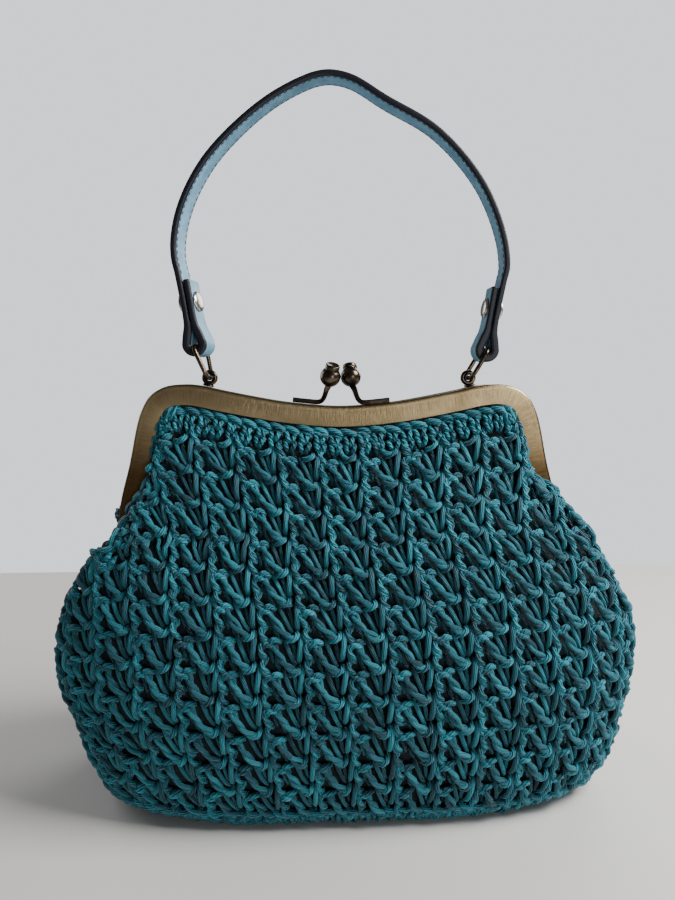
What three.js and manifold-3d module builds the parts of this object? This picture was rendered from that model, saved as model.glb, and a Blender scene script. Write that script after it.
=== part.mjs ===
// A crocheted handbag on a kiss-lock purse frame, with a short leather handle.
// Millimetres, +Z up, front towards -Y. The origin is under the middle of the belly, on the table.
import * as THREE from 'three';
import { mergeVertices } from 'three/addons/utils/BufferGeometryUtils.js';
import Module from 'manifold-3d';

const wasm = await Module();
wasm.setup();

// Driving sizes of the crocheted body
const bellyHalfWidth = 154;
const bellyHalfDepth = 60;
const crochetWall = 3.2;

// Driving sizes of the metal frame
const hingeHeight = 133;
const frameHalfWidth = 117;
const frameRise = 79;
const frameSetLeft = 3.3;
const frameHalfDepth = 8.5;
const frameFace = 10.5;
const sheet = 1;
const lipInset = 3;
const lipHeight = 8;
const legCut = 8;
const earRadius = 5.5;
const earInset = 1.4;
const frontTab = 16;
const backTab = 20;
const pinRadius = 1.6;
const pinHeadRadius = 3.2;
const pinHead = 1;

// Driving sizes of the clasp
const ballRadius = 5.4;
const ballSpread = 5.5;
const ballCross = 2.2;
const ballRise = 15.5;
const buttonRadius = 3.9;
const buttonReach = 7;
const claspBar = 1.9;
const claspBarWidth = 4.6;
const claspFoot = 14.4;
const claspStem = 7.9;

// Driving sizes of the ring posts and links
const postSpread = 70;
const postOuterRadius = 4.2;
const postWire = 2.6;
const postFootRadius = 3;
const postFoot = 1;
const linkWire = 2.4;
const linkLength = 17;
const linkCorner = 3.6;
const linkSlack = 1;

// Driving sizes of the handle
const handleRise = 156.4;
const handleHalfSpan = 87;
const strapWidth = 12.6;
const strapThickness = 3.2;
const loopHole = 3.2;
const tabLength = 33;
const rivetUp = 22;
const rivetCap = 5.2;
const rivetDome = 1.7;
const rivetShank = 1.5;

// Named clearances
const gap = 0.3;
const seamClearance = 0.3;

// What follows from the driving sizes
const frameTop = hingeHeight + frameRise;
const channelOuter = frameHalfDepth - sheet - seamClearance;
const channelInner = lipInset + sheet * 0.8 + seamClearance;
const halfFoot = frameHalfDepth / 2;

// Sections of the body from the table up to the frame's top edge.
// up is a share of the frame's top height, wide and valley of the belly's half width,
// deep of its half depth, edge of the channel's half depth, lean of the frame's offset.
const BODY_ROWS = [
  { up: 0.000, wide: 0.730, deep: 0.810, square: 3.0, valley: 0.000, edge: 0.0, lean: 0.0 },
  { up: 0.014, wide: 0.820, deep: 0.870, square: 3.1, valley: 0.000, edge: 0.0, lean: 0.0 },
  { up: 0.042, wide: 0.885, deep: 0.920, square: 3.1, valley: 0.000, edge: 0.0, lean: 0.0 },
  { up: 0.094, wide: 0.940, deep: 0.965, square: 3.1, valley: 0.000, edge: 0.0, lean: 0.0 },
  { up: 0.189, wide: 0.980, deep: 1.000, square: 2.9, valley: 0.000, edge: 0.0, lean: 0.0 },
  { up: 0.292, wide: 1.000, deep: 1.000, square: 2.8, valley: 0.004, edge: 0.0, lean: 0.0 },
  { up: 0.387, wide: 0.990, deep: 0.950, square: 2.8, valley: 0.030, edge: 0.0, lean: -0.3 },
  { up: 0.462, wide: 0.968, deep: 0.875, square: 3.0, valley: 0.075, edge: 0.0, lean: -0.3 },
  { up: 0.528, wide: 0.934, deep: 0.790, square: 3.2, valley: 0.145, edge: 0.0, lean: 0.2 },
  { up: 0.590, wide: 0.890, deep: 0.690, square: 3.5, valley: 0.178, edge: 0.4, lean: 0.8 },
  { up: 0.651, wide: 0.850, deep: 0.575, square: 3.8, valley: 0.140, edge: 1.0, lean: 1.0 },
  { up: 0.708, wide: 0.787, deep: 0.465, square: 3.8, valley: 0.070, edge: 1.0, lean: 1.0 },
  { up: 0.755, wide: 0.735, deep: 0.390, square: 3.6, valley: 0.000, edge: 1.0, lean: 1.0 },
  { up: 0.825, wide: 0.725, deep: 0.275, square: 3.4, valley: 0.000, edge: 1.0, lean: 1.0 },
  { up: 0.873, wide: 0.725, deep: 0.210, square: 3.4, valley: 0.000, edge: 1.0, lean: 1.0 },
  { up: 0.910, wide: 0.725, deep: 0.172, square: 3.4, valley: 0.000, edge: 1.0, lean: 1.0 },
  { up: 0.943, wide: 0.725, deep: 0.150, square: 3.4, valley: 0.000, edge: 1.0, lean: 1.0 },
  { up: 1.010, wide: 0.725, deep: 0.145, square: 3.4, valley: 0.000, edge: 1.0, lean: 1.0 },
];
const VALLEY_HALF = 16;
const COVER_UP = 0.3;

// Outer edge of the frame, one side, from the hinge up the leg, round the corner and
// down into the dip in the middle. across is a share of the half width, up of the rise.
const FRAME_EDGE = [
  { across: 1.000, up: 0.000 },
  { across: 0.979, up: 0.230 },
  { across: 0.934, up: 0.485 },
  { across: 0.897, up: 0.735 },
  { across: 0.877, up: 0.825 },
  { across: 0.840, up: 0.920 },
  { across: 0.780, up: 0.978 },
  { across: 0.710, up: 0.998 },
  { across: 0.630, up: 0.990 },
  { across: 0.520, up: 0.955 },
  { across: 0.400, up: 0.920 },
  { across: 0.270, up: 0.886 },
  { across: 0.130, up: 0.862 },
];
const DIP_UP = 0.852;

// Bends of the handle between its two riveted ends, along the middle of the strap.
// across is a share of the half span, up of the rise from the higher end's tab to the top.
const HANDLE_BENDS = [
  { across: -0.965, up: 0.141 },
  { across: -0.925, up: 0.341 },
  { across: -0.776, up: 0.583 },
  { across: -0.500, up: 0.820 },
  { across: -0.275, up: 0.944 },
  { across: -0.090, up: 1.000 },
  { across: 0.060, up: 0.982 },
  { across: 0.260, up: 0.888 },
  { across: 0.570, up: 0.742 },
  { across: 0.840, up: 0.494 },
  { across: 0.978, up: 0.226 },
  { across: 1.000, up: 0.060 },
];

// Where the two ends of the handle stand: the middle of each folded loop from the middle of
// its post's ring, and its lean in degrees.
const HANDLE_ENDS = {
  left: { across: -5.4, rise: 17.2, lean: -9 },
  right: { across: 8.6, rise: 14.6, lean: 9 },
};

const yarnMaterial = new THREE.MeshStandardMaterial({ color: 0x4b7f8b, roughness: 0.9, metalness: 0 });
const frameMaterial = new THREE.MeshStandardMaterial({ color: 0x958a6e, roughness: 0.38, metalness: 1 });
const bronzeMaterial = new THREE.MeshStandardMaterial({ color: 0x5a5046, roughness: 0.3, metalness: 1 });
const leatherMaterial = new THREE.MeshStandardMaterial({ color: 0x7ca7ba, roughness: 0.55, metalness: 0 });

const group = new THREE.Group();

// Adds a finished geometry to the bag as a named piece
function piece(name, geometry, material) {
  const mesh = new THREE.Mesh(geometry, material);
  mesh.name = name;
  group.add(mesh);
}

// Turns a closed geometry into a solid that can be cut and joined
function solidOf(geometry) {
  const bare = geometry.clone();
  bare.deleteAttribute('normal');
  bare.deleteAttribute('uv');
  const merged = mergeVertices(bare, 1e-4);
  const vertProperties = new Float32Array(merged.attributes.position.array);
  const triVerts = new Uint32Array(merged.index.array);
  return new wasm.Manifold(new wasm.Mesh({ numProp: 3, vertProperties, triVerts }));
}

// Turns a cut solid back into a geometry
function geometryOf(solid) {
  const mesh = solid.getMesh();
  const geometry = new THREE.BufferGeometry();
  geometry.setAttribute('position', new THREE.BufferAttribute(mesh.vertProperties, 3));
  geometry.setIndex(new THREE.BufferAttribute(mesh.triVerts, 1));
  geometry.computeVertexNormals();
  return geometry;
}

// Skins a row of closed rings that all have the same number of points, and caps both ends.
// flat is the outline of a ring in its own plane, which the caps are filled from.
function loft(rings, flat) {
  const count = rings[0].length;
  const positions = rings.flat().flatMap((point) => point.toArray());
  const faces = [];
  for (let ring = 0; ring + 1 < rings.length; ring += 1) {
    for (let i = 0; i < count; i += 1) {
      const a = ring * count + i;
      const b = ring * count + ((i + 1) % count);
      faces.push([a, b, b + count], [a, b + count, a + count]);
    }
  }
  const last = (rings.length - 1) * count;
  const clockwise = THREE.ShapeUtils.isClockWise(flat);
  for (const corners of THREE.ShapeUtils.triangulateShape(flat, [])) {
    const [a, b, c] = clockwise ? corners.reverse() : corners;
    faces.push([c, b, a], [last + a, last + b, last + c]);
  }
  const geometry = new THREE.BufferGeometry();
  geometry.setAttribute('position', new THREE.Float32BufferAttribute(positions, 3));
  geometry.setIndex(faces.flat());
  return facingOut(geometry);
}

// Turns the faces of a closed geometry outwards if they face in
function facingOut(geometry) {
  const index = geometry.index.array;
  const at = (i) => new THREE.Vector3().fromBufferAttribute(geometry.attributes.position, i);
  let volume = 0;
  for (let i = 0; i < index.length; i += 3) {
    volume += at(index[i]).dot(at(index[i + 1]).cross(at(index[i + 2])));
  }
  if (volume < 0) {
    for (let i = 0; i < index.length; i += 3) {
      [index[i], index[i + 1]] = [index[i + 1], index[i]];
    }
  }
  geometry.computeVertexNormals();
  return geometry;
}

// Sweeps an outline along stations in an upright plane. Each station has its place across and
// up, the direction towards the outline's x, and how far back the outline's y starts.
function sweep(stations, outline) {
  const rings = stations.map(({ x, z, nx, nz, y }) =>
    outline.map((p) => new THREE.Vector3(x + nx * p.x, y + p.y, z + nz * p.x)));
  return loft(rings, outline);
}

// Gives each point of an upright path its direction to the right of travel
function stationsAlong(points, y) {
  return points.map((point, i) => {
    const before = points[Math.max(i - 1, 0)];
    const after = points[Math.min(i + 1, points.length - 1)];
    const along = new THREE.Vector2().subVectors(after, before).normalize();
    return { x: point.x, z: point.y, nx: along.y, nz: -along.x, y };
  });
}

// An upright slab with the given outline, from one depth to another
function slab(outline, yFrom, yTo) {
  const shape = new THREE.Shape(outline);
  const geometry = new THREE.ExtrudeGeometry(shape, { depth: yTo - yFrom, bevelEnabled: false });
  geometry.rotateX(Math.PI / 2);
  geometry.translate(0, yTo, 0);
  return solidOf(geometry);
}

function box(xFrom, xTo, yFrom, yTo, zFrom, zTo) {
  const geometry = new THREE.BoxGeometry(xTo - xFrom, yTo - yFrom, zTo - zFrom);
  geometry.translate((xFrom + xTo) / 2, (yFrom + yTo) / 2, (zFrom + zTo) / 2);
  return solidOf(geometry);
}

// A rectangle with cut corners, centred on its own middle
function barOutline(thickness, width, corner) {
  const x = thickness / 2;
  const y = width / 2;
  return [
    new THREE.Vector2(-x + corner, -y), new THREE.Vector2(x - corner, -y),
    new THREE.Vector2(x, -y + corner), new THREE.Vector2(x, y - corner),
    new THREE.Vector2(x - corner, y), new THREE.Vector2(-x + corner, y),
    new THREE.Vector2(-x, y - corner), new THREE.Vector2(-x, -y + corner),
  ];
}

// Smooth value of one column of a table at a share of its height
function columnAt(rows, column, up) {
  let i = rows.findIndex((row) => row.up > up) - 1;
  if (i < 0) i = up < rows[0].up ? 0 : rows.length - 2;
  const slope = (k) => {
    const before = rows[Math.max(k - 1, 0)];
    const after = rows[Math.min(k + 1, rows.length - 1)];
    return (after[column] - before[column]) / (after.up - before.up);
  };
  const step = rows[i + 1].up - rows[i].up;
  const t = THREE.MathUtils.clamp((up - rows[i].up) / step, 0, 1);
  const start = rows[i][column] * (1 + 2 * t) * (1 - t) ** 2 + slope(i) * step * t * (1 - t) ** 2;
  const end = rows[i + 1][column] * t * t * (3 - 2 * t) + slope(i + 1) * step * t * t * (t - 1);
  return start + end;
}

const FRAME_STEPS = 54;

// Frame edge, from the left hinge over the top to the right hinge
const frameCurve = (() => {
  const side = FRAME_EDGE.map((row) =>
    new THREE.Vector3(row.across * frameHalfWidth, hingeHeight + row.up * frameRise, 0));
  const left = side.map((p) => new THREE.Vector3(-p.x, p.y, 0));
  const middle = new THREE.Vector3(0, hingeHeight + DIP_UP * frameRise, 0);
  return new THREE.CatmullRomCurve3([...left, middle, ...side.reverse()], false, 'centripetal');
})();

// Stations along the frame's edge, without what lies below a height
function frameStations(lowest) {
  const points = frameCurve.getSpacedPoints(FRAME_STEPS).map((p) => new THREE.Vector2(p.x - frameSetLeft, p.y));
  return stationsAlong(points, 0).filter((s) => s.z >= lowest);
}

// Points of the frame's edge moved inwards, without what lies below a height
function frameEdge(inwards, lowest) {
  return frameStations(lowest).map((s) => new THREE.Vector2(s.x + s.nx * inwards, s.z + s.nz * inwards));
}

// The height of the frame's top edge at a place across
function frameTopAt(across) {
  const points = frameCurve.getSpacedPoints(400).filter((p) => p.y > hingeHeight + frameRise / 2);
  return points.reduce((best, p) => (Math.abs(p.x - across) < Math.abs(best.x - across) ? p : best)).y;
}

// One ring of the body at a height. inset moves it inwards by a wall.
function bodyRing(height, inset, count) {
  const up = Math.max(height, 0) / frameTop;
  const sunk = Math.max(height - inset, 0) / frameTop;
  const wide = Math.min(columnAt(BODY_ROWS, 'wide', up) * bellyHalfWidth - inset,
    columnAt(BODY_ROWS, 'wide', sunk) * bellyHalfWidth);
  const deep = Math.min(columnAt(BODY_ROWS, 'deep', up) * bellyHalfDepth - inset,
    columnAt(BODY_ROWS, 'deep', sunk) * bellyHalfDepth);
  const edge = Math.max(columnAt(BODY_ROWS, 'edge', up) * channelOuter - inset, 0);
  const power = 2 / columnAt(BODY_ROWS, 'square', up);
  const valley = columnAt(BODY_ROWS, 'valley', up) * bellyHalfWidth;
  const lean = -columnAt(BODY_ROWS, 'lean', up) * frameSetLeft;
  const ring = [];
  for (let i = 0; i < count; i += 1) {
    const angle = ((i + 0.5) / count) * Math.PI * 2;
    const cos = Math.cos(angle);
    const sin = Math.sin(angle);
    const y = Math.sign(sin) * (edge + (deep - edge) * Math.abs(sin) ** power);
    const dip = valley * Math.exp(-((y / VALLEY_HALF) ** 4)) * Math.abs(cos) ** 2;
    const x = Math.sign(cos) * (wide * Math.abs(cos) ** power - dip);
    ring.push(new THREE.Vector3(x + lean, y, height));
  }
  return ring;
}

function bodyLoft(heights, inset, count) {
  const rings = heights.map((height) => bodyRing(height, inset, count));
  return solidOf(loft(rings, rings[0].map((p) => new THREE.Vector2(p.x, p.y))));
}

// The crocheted body: a closed base, full belly, a valley at each side under the hinge, and a
// front and a back panel whose top edges run inside the frame's channels
function wovenBody() {
  const count = 52;
  const outerHeights = BODY_ROWS.map((row) => row.up * frameTop);
  const innerHeights = [crochetWall, ...outerHeights.filter((h) => h > 2 * crochetWall), frameTop * 1.05];
  const far = bellyHalfWidth * 1.5;
  const deep = bellyHalfDepth * 1.5;
  const cover = hingeHeight + COVER_UP * frameRise;
  const pastFrame = 2 * earRadius;

  const edgeShape = (inwards, lowest) => {
    const edge = frameEdge(inwards, lowest);
    return [new THREE.Vector2(-far, lowest), ...edge, new THREE.Vector2(far, lowest),
      new THREE.Vector2(far, -far), new THREE.Vector2(-far, -far)];
  };
  const bandShape = (from, to, lowest) =>
    [...frameEdge(from, lowest), ...frameEdge(to, lowest).reverse()];

  const legStart = hingeHeight + legCut - sheet;
  const bandInner = frameFace + seamClearance;
  const cavity = bodyLoft(innerHeights, crochetWall, count)
    .intersect(slab(edgeShape(bandInner + crochetWall, legStart), -deep, deep))
    .add(box(-far, far, -channelInner, channelInner, legStart, frameTop * 1.1));

  const clear = frameHalfDepth + gap;
  const face = bandShape(-pastFrame, bandInner, legStart);
  const shownFace = bandShape(-pastFrame, bandInner, cover);
  const inTheWay = slab(bandShape(-pastFrame, sheet + seamClearance, hingeHeight), -clear, clear)
    .add(slab(face, channelOuter, clear))
    .add(slab(face, -clear, -channelOuter))
    .add(slab(shownFace, channelOuter, deep))
    .add(slab(shownFace, -deep, -channelOuter));
  let body = bodyLoft(outerHeights, 0, count)
    .intersect(slab(edgeShape(sheet + seamClearance, cover + crochetWall), -deep, deep))
    .subtract(cavity)
    .subtract(inTheWay);
  for (const side of [-1, 1]) {
    const inner = side * (frameHalfWidth - earInset - 2 * sheet - 3 * gap - pinHead) - frameSetLeft;
    const outer = side * (frameHalfWidth + pastFrame) - frameSetLeft;
    body = body.subtract(box(Math.min(inner, outer), Math.max(inner, outer), -clear, clear,
      hingeHeight - earRadius - gap, hingeHeight + backTab + gap));
  }
  piece('woven_body', geometryOf(body), yarnMaterial);
}

// Where the ears of the two halves stand, measured from the middle of the frame
const earFace = frameHalfWidth - earInset;
const backEarFace = earFace - sheet - gap;

// A disc on the hinge line with a tab up into one leg, bored for the hinge pin
function ear(side, front) {
  const outer = front ? earFace : backEarFace;
  const back = front ? -1 : 1;
  const near = (back * gap) / 2;
  const far = back * (frameHalfDepth - 2 * sheet);
  const xs = [side * outer - frameSetLeft, side * (outer - sheet) - frameSetLeft].sort((a, b) => a - b);
  const ys = [near, far].sort((a, b) => a - b);
  const disc = new THREE.CylinderGeometry(earRadius, earRadius, sheet, 20);
  disc.rotateZ(Math.PI / 2);
  disc.translate((xs[0] + xs[1]) / 2, 0, hingeHeight);
  return solidOf(disc)
    .add(box(xs[0], xs[1], ys[0], ys[1], hingeHeight, hingeHeight + (front ? frontTab : backTab)))
    .subtract(hingeLine(side, pinRadius + gap));
}

// A round bar along the hinge line of one side
function hingeLine(side, radius) {
  const bar = new THREE.CylinderGeometry(radius, radius, 6 * earRadius, 16);
  bar.rotateZ(Math.PI / 2);
  bar.translate(side * frameHalfWidth - frameSetLeft, 0, hingeHeight);
  return solidOf(bar);
}

// Half of the purse frame: a folded sheet channel bent along the frame's edge, with an ear at
// the end of each leg
function frameHalf(name, front) {
  const back = front ? -1 : 1;
  const lip = lipInset + sheet * 0.8;
  const outline = [
    [0, gap / 2], [0, frameHalfDepth], [frameFace, frameHalfDepth], [frameFace, frameHalfDepth - sheet],
    [sheet, frameHalfDepth - sheet], [sheet, lip], [lipHeight, lip], [lipHeight, lipInset],
    [sheet, lipInset], [sheet, gap / 2],
  ].map(([x, y]) => new THREE.Vector2(x, y * back));
  let half = solidOf(sweep(frameStations(hingeHeight + legCut), outline));
  for (const side of [-1, 1]) half = half.add(ear(side, front));
  piece(name, geometryOf(half), frameMaterial);
}

// A rivet through both ears of one side, with a flat head at each end
function hingePin(name, side) {
  const outer = earFace + gap;
  const inner = backEarFace - sheet - gap;
  const profile = [
    [0, inner - pinHead], [pinHeadRadius, inner - pinHead], [pinHeadRadius, inner], [pinRadius, inner],
    [pinRadius, outer], [pinHeadRadius, outer], [pinHeadRadius, outer + pinHead], [0, outer + pinHead],
  ].map(([r, along]) => new THREE.Vector2(r, along));
  const pin = new THREE.LatheGeometry(profile, 12);
  pin.rotateZ(-Math.PI / 2 * side);
  pin.translate(-frameSetLeft, 0, hingeHeight);
  piece(name, geometryOf(solidOf(pin)), bronzeMaterial);
}

// One half of the kiss lock: a bar riveted along the frame's top edge that bends up into a
// stem, and a ball with a flat button, which leans across to the other half's side
function clasp(name, side, front, buttonTilt) {
  const half = front ? -1 : 1;
  const seat = gap + claspBar / 2;
  const ball = new THREE.Vector3(side * ballSpread - frameSetLeft, -half * ballCross, frameTopAt(0) + ballRise);
  const rise = ballRise - seat;
  const path = [
    [claspStem + 3 + claspFoot, 0], [claspStem + 3 + claspFoot * 0.5, 0], [claspStem + 3, 0.02],
    [claspStem + 1.2, 0.12], [claspStem + 0.2, 0.3], [claspStem - 0.6, 0.52], [claspStem - 2.2, 0.74],
  ];
  const points = path.map(([across, share]) =>
    new THREE.Vector2(side * across - frameSetLeft, frameTopAt(side * across) + seat + rise * share));
  const stations = stationsAlong(points, 0).map((station, i) =>
    ({ ...station, y: THREE.MathUtils.lerp(half * halfFoot, ball.y, path[i][1] / 0.74) }));
  const arm = solidOf(sweep(stations, barOutline(claspBar, claspBarWidth, 0.3)));

  const edge = Math.acos(buttonRadius / ballRadius);
  const profile = [];
  for (let i = 0; i <= 7; i += 1) {
    const angle = -Math.PI / 2 + ((edge + Math.PI / 2) * i) / 7;
    profile.push(new THREE.Vector2(ballRadius * Math.cos(angle), ballRadius * Math.sin(angle)));
  }
  profile[0].x = 0;
  profile.push(new THREE.Vector2(buttonRadius, buttonReach), new THREE.Vector2(0, buttonReach));
  const knob = new THREE.LatheGeometry(profile, 16);
  const up = new THREE.Vector3(0, 1, 0);
  knob.applyQuaternion(new THREE.Quaternion().setFromUnitVectors(up, buttonTilt.normalize()));
  knob.translate(ball.x, ball.y, ball.z);
  piece(name, geometryOf(arm.add(solidOf(knob))), bronzeMaterial);
}

// Where a ring post stands on the back half: its seat, its tilt and the middle of its ring
function postPlace(side) {
  const step = 3;
  const slope = (frameTopAt(side * postSpread + step) - frameTopAt(side * postSpread - step)) / (2 * step);
  const tilt = Math.atan(slope);
  const seat = new THREE.Vector2(side * postSpread - frameSetLeft, frameTopAt(side * postSpread));
  const ringUp = gap + postFoot + postOuterRadius - postWire / 4;
  const ring = new THREE.Vector2(seat.x - Math.sin(tilt) * ringUp, seat.y + Math.cos(tilt) * ringUp);
  return { seat, tilt, ringUp, ring };
}

// A ring with a round foot on the top of the frame's back half
function ringPost(name, side) {
  const { seat, tilt, ringUp } = postPlace(side);
  const ring = new THREE.TorusGeometry(postOuterRadius - postWire / 2, postWire / 2, 6, 16);
  ring.rotateX(Math.PI / 2);
  ring.translate(0, 0, ringUp);
  const foot = new THREE.CylinderGeometry(postFootRadius, postFootRadius, postFoot, 14);
  foot.rotateX(Math.PI / 2);
  foot.translate(0, 0, gap + postFoot / 2);
  const post = geometryOf(solidOf(ring).add(solidOf(foot)));
  post.rotateY(-tilt);
  post.translate(seat.x, halfFoot, seat.y);
  piece(name, post, bronzeMaterial);
}

// The middle of the folded loop at one end of the handle, with the directions up the strap and
// towards the inside of the handle
function handleEnd(side) {
  const row = side < 0 ? HANDLE_ENDS.left : HANDLE_ENDS.right;
  const lean = THREE.MathUtils.degToRad(row.lean);
  const { ring } = postPlace(side);
  const middle = new THREE.Vector2(ring.x + row.across, ring.y + row.rise);
  const up = new THREE.Vector2(Math.sin(lean), Math.cos(lean));
  const inward = new THREE.Vector2(-side * Math.cos(lean), side * Math.sin(lean));
  const at = (v, u) => middle.clone().addScaledVector(inward, v).addScaledVector(up, u);
  return { middle, up, inward, at };
}

// A long link of round wire, from the hole of a ring post up through the handle's loop
function link(name, side) {
  const { ring } = postPlace(side);
  const { middle } = handleEnd(side);
  const long = linkLength / 2 - linkCorner;
  const wide = (strapWidth + linkWire) / 2 + linkSlack - linkCorner;
  const wire = new THREE.TorusGeometry(linkCorner, linkWire / 2, 6, 24);
  wire.rotateZ(Math.PI / 24);
  const position = wire.attributes.position;
  for (let i = 0; i < position.count; i += 1) {
    position.setX(i, position.getX(i) + Math.sign(position.getX(i)) * long);
    position.setY(i, position.getY(i) + Math.sign(position.getY(i)) * wide);
  }
  const along = middle.clone().sub(ring).normalize();
  wire.rotateY(-Math.atan2(along.y, along.x));
  wire.translate(ring.x + (along.x * linkLength) / 2, halfFoot, ring.y + (along.y * linkLength) / 2);
  piece(name, geometryOf(solidOf(wire)), bronzeMaterial);
}

// The folded end of the strap from its tab's tip round the link and back up, as v and u
function foldedEnd() {
  const layer = (strapThickness + gap) / 2;
  const radius = loopHole + strapThickness / 2;
  const inner = [[layer, tabLength], [layer, tabLength * 0.7], [layer, tabLength * 0.45]];
  const neck = [[layer + 0.5, radius + 4.5], [layer + 1.6, radius + 1]];
  const loop = [];
  for (let degrees = 25; degrees >= -205; degrees -= 23) {
    const angle = THREE.MathUtils.degToRad(degrees);
    loop.push([radius * Math.cos(angle), radius * Math.sin(angle)]);
  }
  const outer = [...neck].reverse().concat([...inner].reverse()).map(([v, u]) => [-v, u]);
  return [...inner, ...neck, ...loop, ...outer];
}

// The leather handle: one strap, with both ends folded in round the links and bored for rivets
function handleStrap() {
  const left = handleEnd(-1);
  const right = handleEnd(1);
  const leftPoints = foldedEnd().map(([v, u]) => left.at(v, u));
  const rightPoints = foldedEnd().map(([v, u]) => right.at(v, u)).reverse();
  const bottom = Math.max(left.at(0, tabLength).y, right.at(0, tabLength).y);
  const rise = frameTop + handleRise - strapThickness / 2 - bottom;
  const bends = HANDLE_BENDS.map((row) =>
    new THREE.Vector2(row.across * handleHalfSpan - frameSetLeft, bottom + row.up * rise));
  const through = [...leftPoints.slice(-2), ...bends, ...rightPoints.slice(0, 2)]
    .map((p) => new THREE.Vector3(p.x, p.y, 0));
  const curve = new THREE.CatmullRomCurve3(through, false, 'centripetal');
  const arch = curve.getSpacedPoints(46).slice(2, -2).map((p) => new THREE.Vector2(p.x, p.y));
  const route = [...leftPoints.slice(0, -2), ...arch, ...rightPoints.slice(2)];
  let strap = solidOf(sweep(stationsAlong(route, halfFoot), barOutline(strapThickness, strapWidth, 0.5)));
  for (const end of [left, right]) {
    const hole = new THREE.CylinderGeometry(rivetShank + gap, rivetShank + gap, 6 * strapThickness, 14);
    strap = strap.subtract(solidOf(onRivetLine(hole, end)));
  }
  piece('handle_strap', geometryOf(strap), leatherMaterial);
}

// Lays a geometry made along Y on the line of one end's rivet, with its top to the inside
function onRivetLine(geometry, end) {
  geometry.rotateZ(-Math.PI / 2);
  geometry.rotateY(-Math.atan2(end.inward.y, end.inward.x));
  const middle = end.at(0, rivetUp);
  geometry.translate(middle.x, halfFoot, middle.y);
  return geometry;
}

// A rivet through both layers of the strap, with a domed cap on each face
function handleRivet(name, side) {
  const face = strapThickness + gap / 2 + gap;
  const half = [
    [rivetShank, 0], [rivetShank, face], [rivetCap, face], [rivetCap, face + rivetDome * 0.35],
    [rivetCap * 0.72, face + rivetDome * 0.8], [rivetCap * 0.35, face + rivetDome], [0, face + rivetDome],
  ];
  const lower = half.slice(1).reverse().map(([r, along]) => [r, -along]);
  const profile = [...lower, ...half.slice(1)].map(([r, along]) => new THREE.Vector2(r, along));
  const rivet = new THREE.LatheGeometry(profile, 14);
  piece(name, geometryOf(solidOf(onRivetLine(rivet, handleEnd(side)))), bronzeMaterial);
}

wovenBody();
frameHalf('frame_front', true);
frameHalf('frame_back', false);
hingePin('hinge_pin_left', -1);
hingePin('hinge_pin_right', 1);
clasp('clasp_back', -1, false, new THREE.Vector3(0.2, -0.4, 0.9));
clasp('clasp_front', 1, true, new THREE.Vector3(-0.05, 0.4, 0.9));
ringPost('ring_post_left', -1);
ringPost('ring_post_right', 1);
link('link_left', -1);
link('link_right', 1);
handleStrap();
handleRivet('handle_rivet_left', -1);
handleRivet('handle_rivet_right', 1);

export default group;
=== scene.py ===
# A crocheted handbag on a brass kiss-lock purse frame, with a short blue leather handle.
# Lengths are in millimetres and turned to metres as each mesh is finished. Only those of the
# floor, the lights and the materials' bumps are in metres.
import math

import bmesh
import bpy
import numpy as np
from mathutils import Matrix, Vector


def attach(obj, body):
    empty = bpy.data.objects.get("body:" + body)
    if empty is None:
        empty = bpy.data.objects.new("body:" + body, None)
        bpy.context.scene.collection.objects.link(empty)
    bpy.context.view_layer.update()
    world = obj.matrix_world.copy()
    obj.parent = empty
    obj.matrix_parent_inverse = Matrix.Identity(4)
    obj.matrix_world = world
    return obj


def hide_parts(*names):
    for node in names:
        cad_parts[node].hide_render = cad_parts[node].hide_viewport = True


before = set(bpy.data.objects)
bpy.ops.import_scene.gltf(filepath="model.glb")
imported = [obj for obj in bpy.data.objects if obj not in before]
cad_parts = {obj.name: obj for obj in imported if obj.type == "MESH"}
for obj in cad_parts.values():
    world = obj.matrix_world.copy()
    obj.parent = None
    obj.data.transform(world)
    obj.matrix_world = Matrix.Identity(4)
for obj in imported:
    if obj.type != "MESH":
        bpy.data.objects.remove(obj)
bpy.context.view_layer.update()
MM = 0.001

# The camera stands a little to the left of the bag, at the height of the frame, and looks
# slightly down, through a 26 mm lens.
CAMERA_PLACE = Vector((-21.4, -344.5, 215)) * MM
CAMERA_TILT = math.radians(83.7)
CAMERA_HEADING = math.radians(-2.74)
CAMERA_LENS = 26
CAMERA_SENSOR = 36


def in_scene(name, data):
    """A new object of the scene."""
    thing = bpy.data.objects.new(name, data)
    bpy.context.collection.objects.link(thing)
    return thing


camera_data = bpy.data.cameras.new("camera")
camera_data.lens = CAMERA_LENS
camera_data.sensor_width = CAMERA_SENSOR
camera = in_scene("camera", camera_data)
camera.location = CAMERA_PLACE
camera.rotation_euler = (CAMERA_TILT, 0, CAMERA_HEADING)
bpy.context.scene.camera = camera

# The edge of the purse frame, which the metal band is bent along and which closes the mouth
# of the crochet. FRAME_EDGE is one side of it, in shares of the half width and the rise, from
# the hinge up the leg, round the corner and into the dip.
HINGE_HEIGHT = 133
FRAME_RISE = 79
FRAME_HALF_WIDTH = 117
FRAME_SET_LEFT = 3.3
FRAME_TOP = HINGE_HEIGHT + FRAME_RISE
FRAME_FACE = 10.5
DIP_UP = 0.852
FRAME_EDGE = [
    (1.000, 0.000), (0.979, 0.230), (0.934, 0.485), (0.897, 0.735), (0.877, 0.825),
    (0.840, 0.920), (0.780, 0.978), (0.710, 0.998), (0.630, 0.990), (0.520, 0.955),
    (0.400, 0.920), (0.270, 0.886), (0.130, 0.862),
]
EDGE_POINTS = 401


def lengths_along(points):
    """The length of a path from its start to each of its points."""
    return np.concatenate([[0], np.cumsum(np.linalg.norm(np.diff(points, axis=0), axis=1))])


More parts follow.
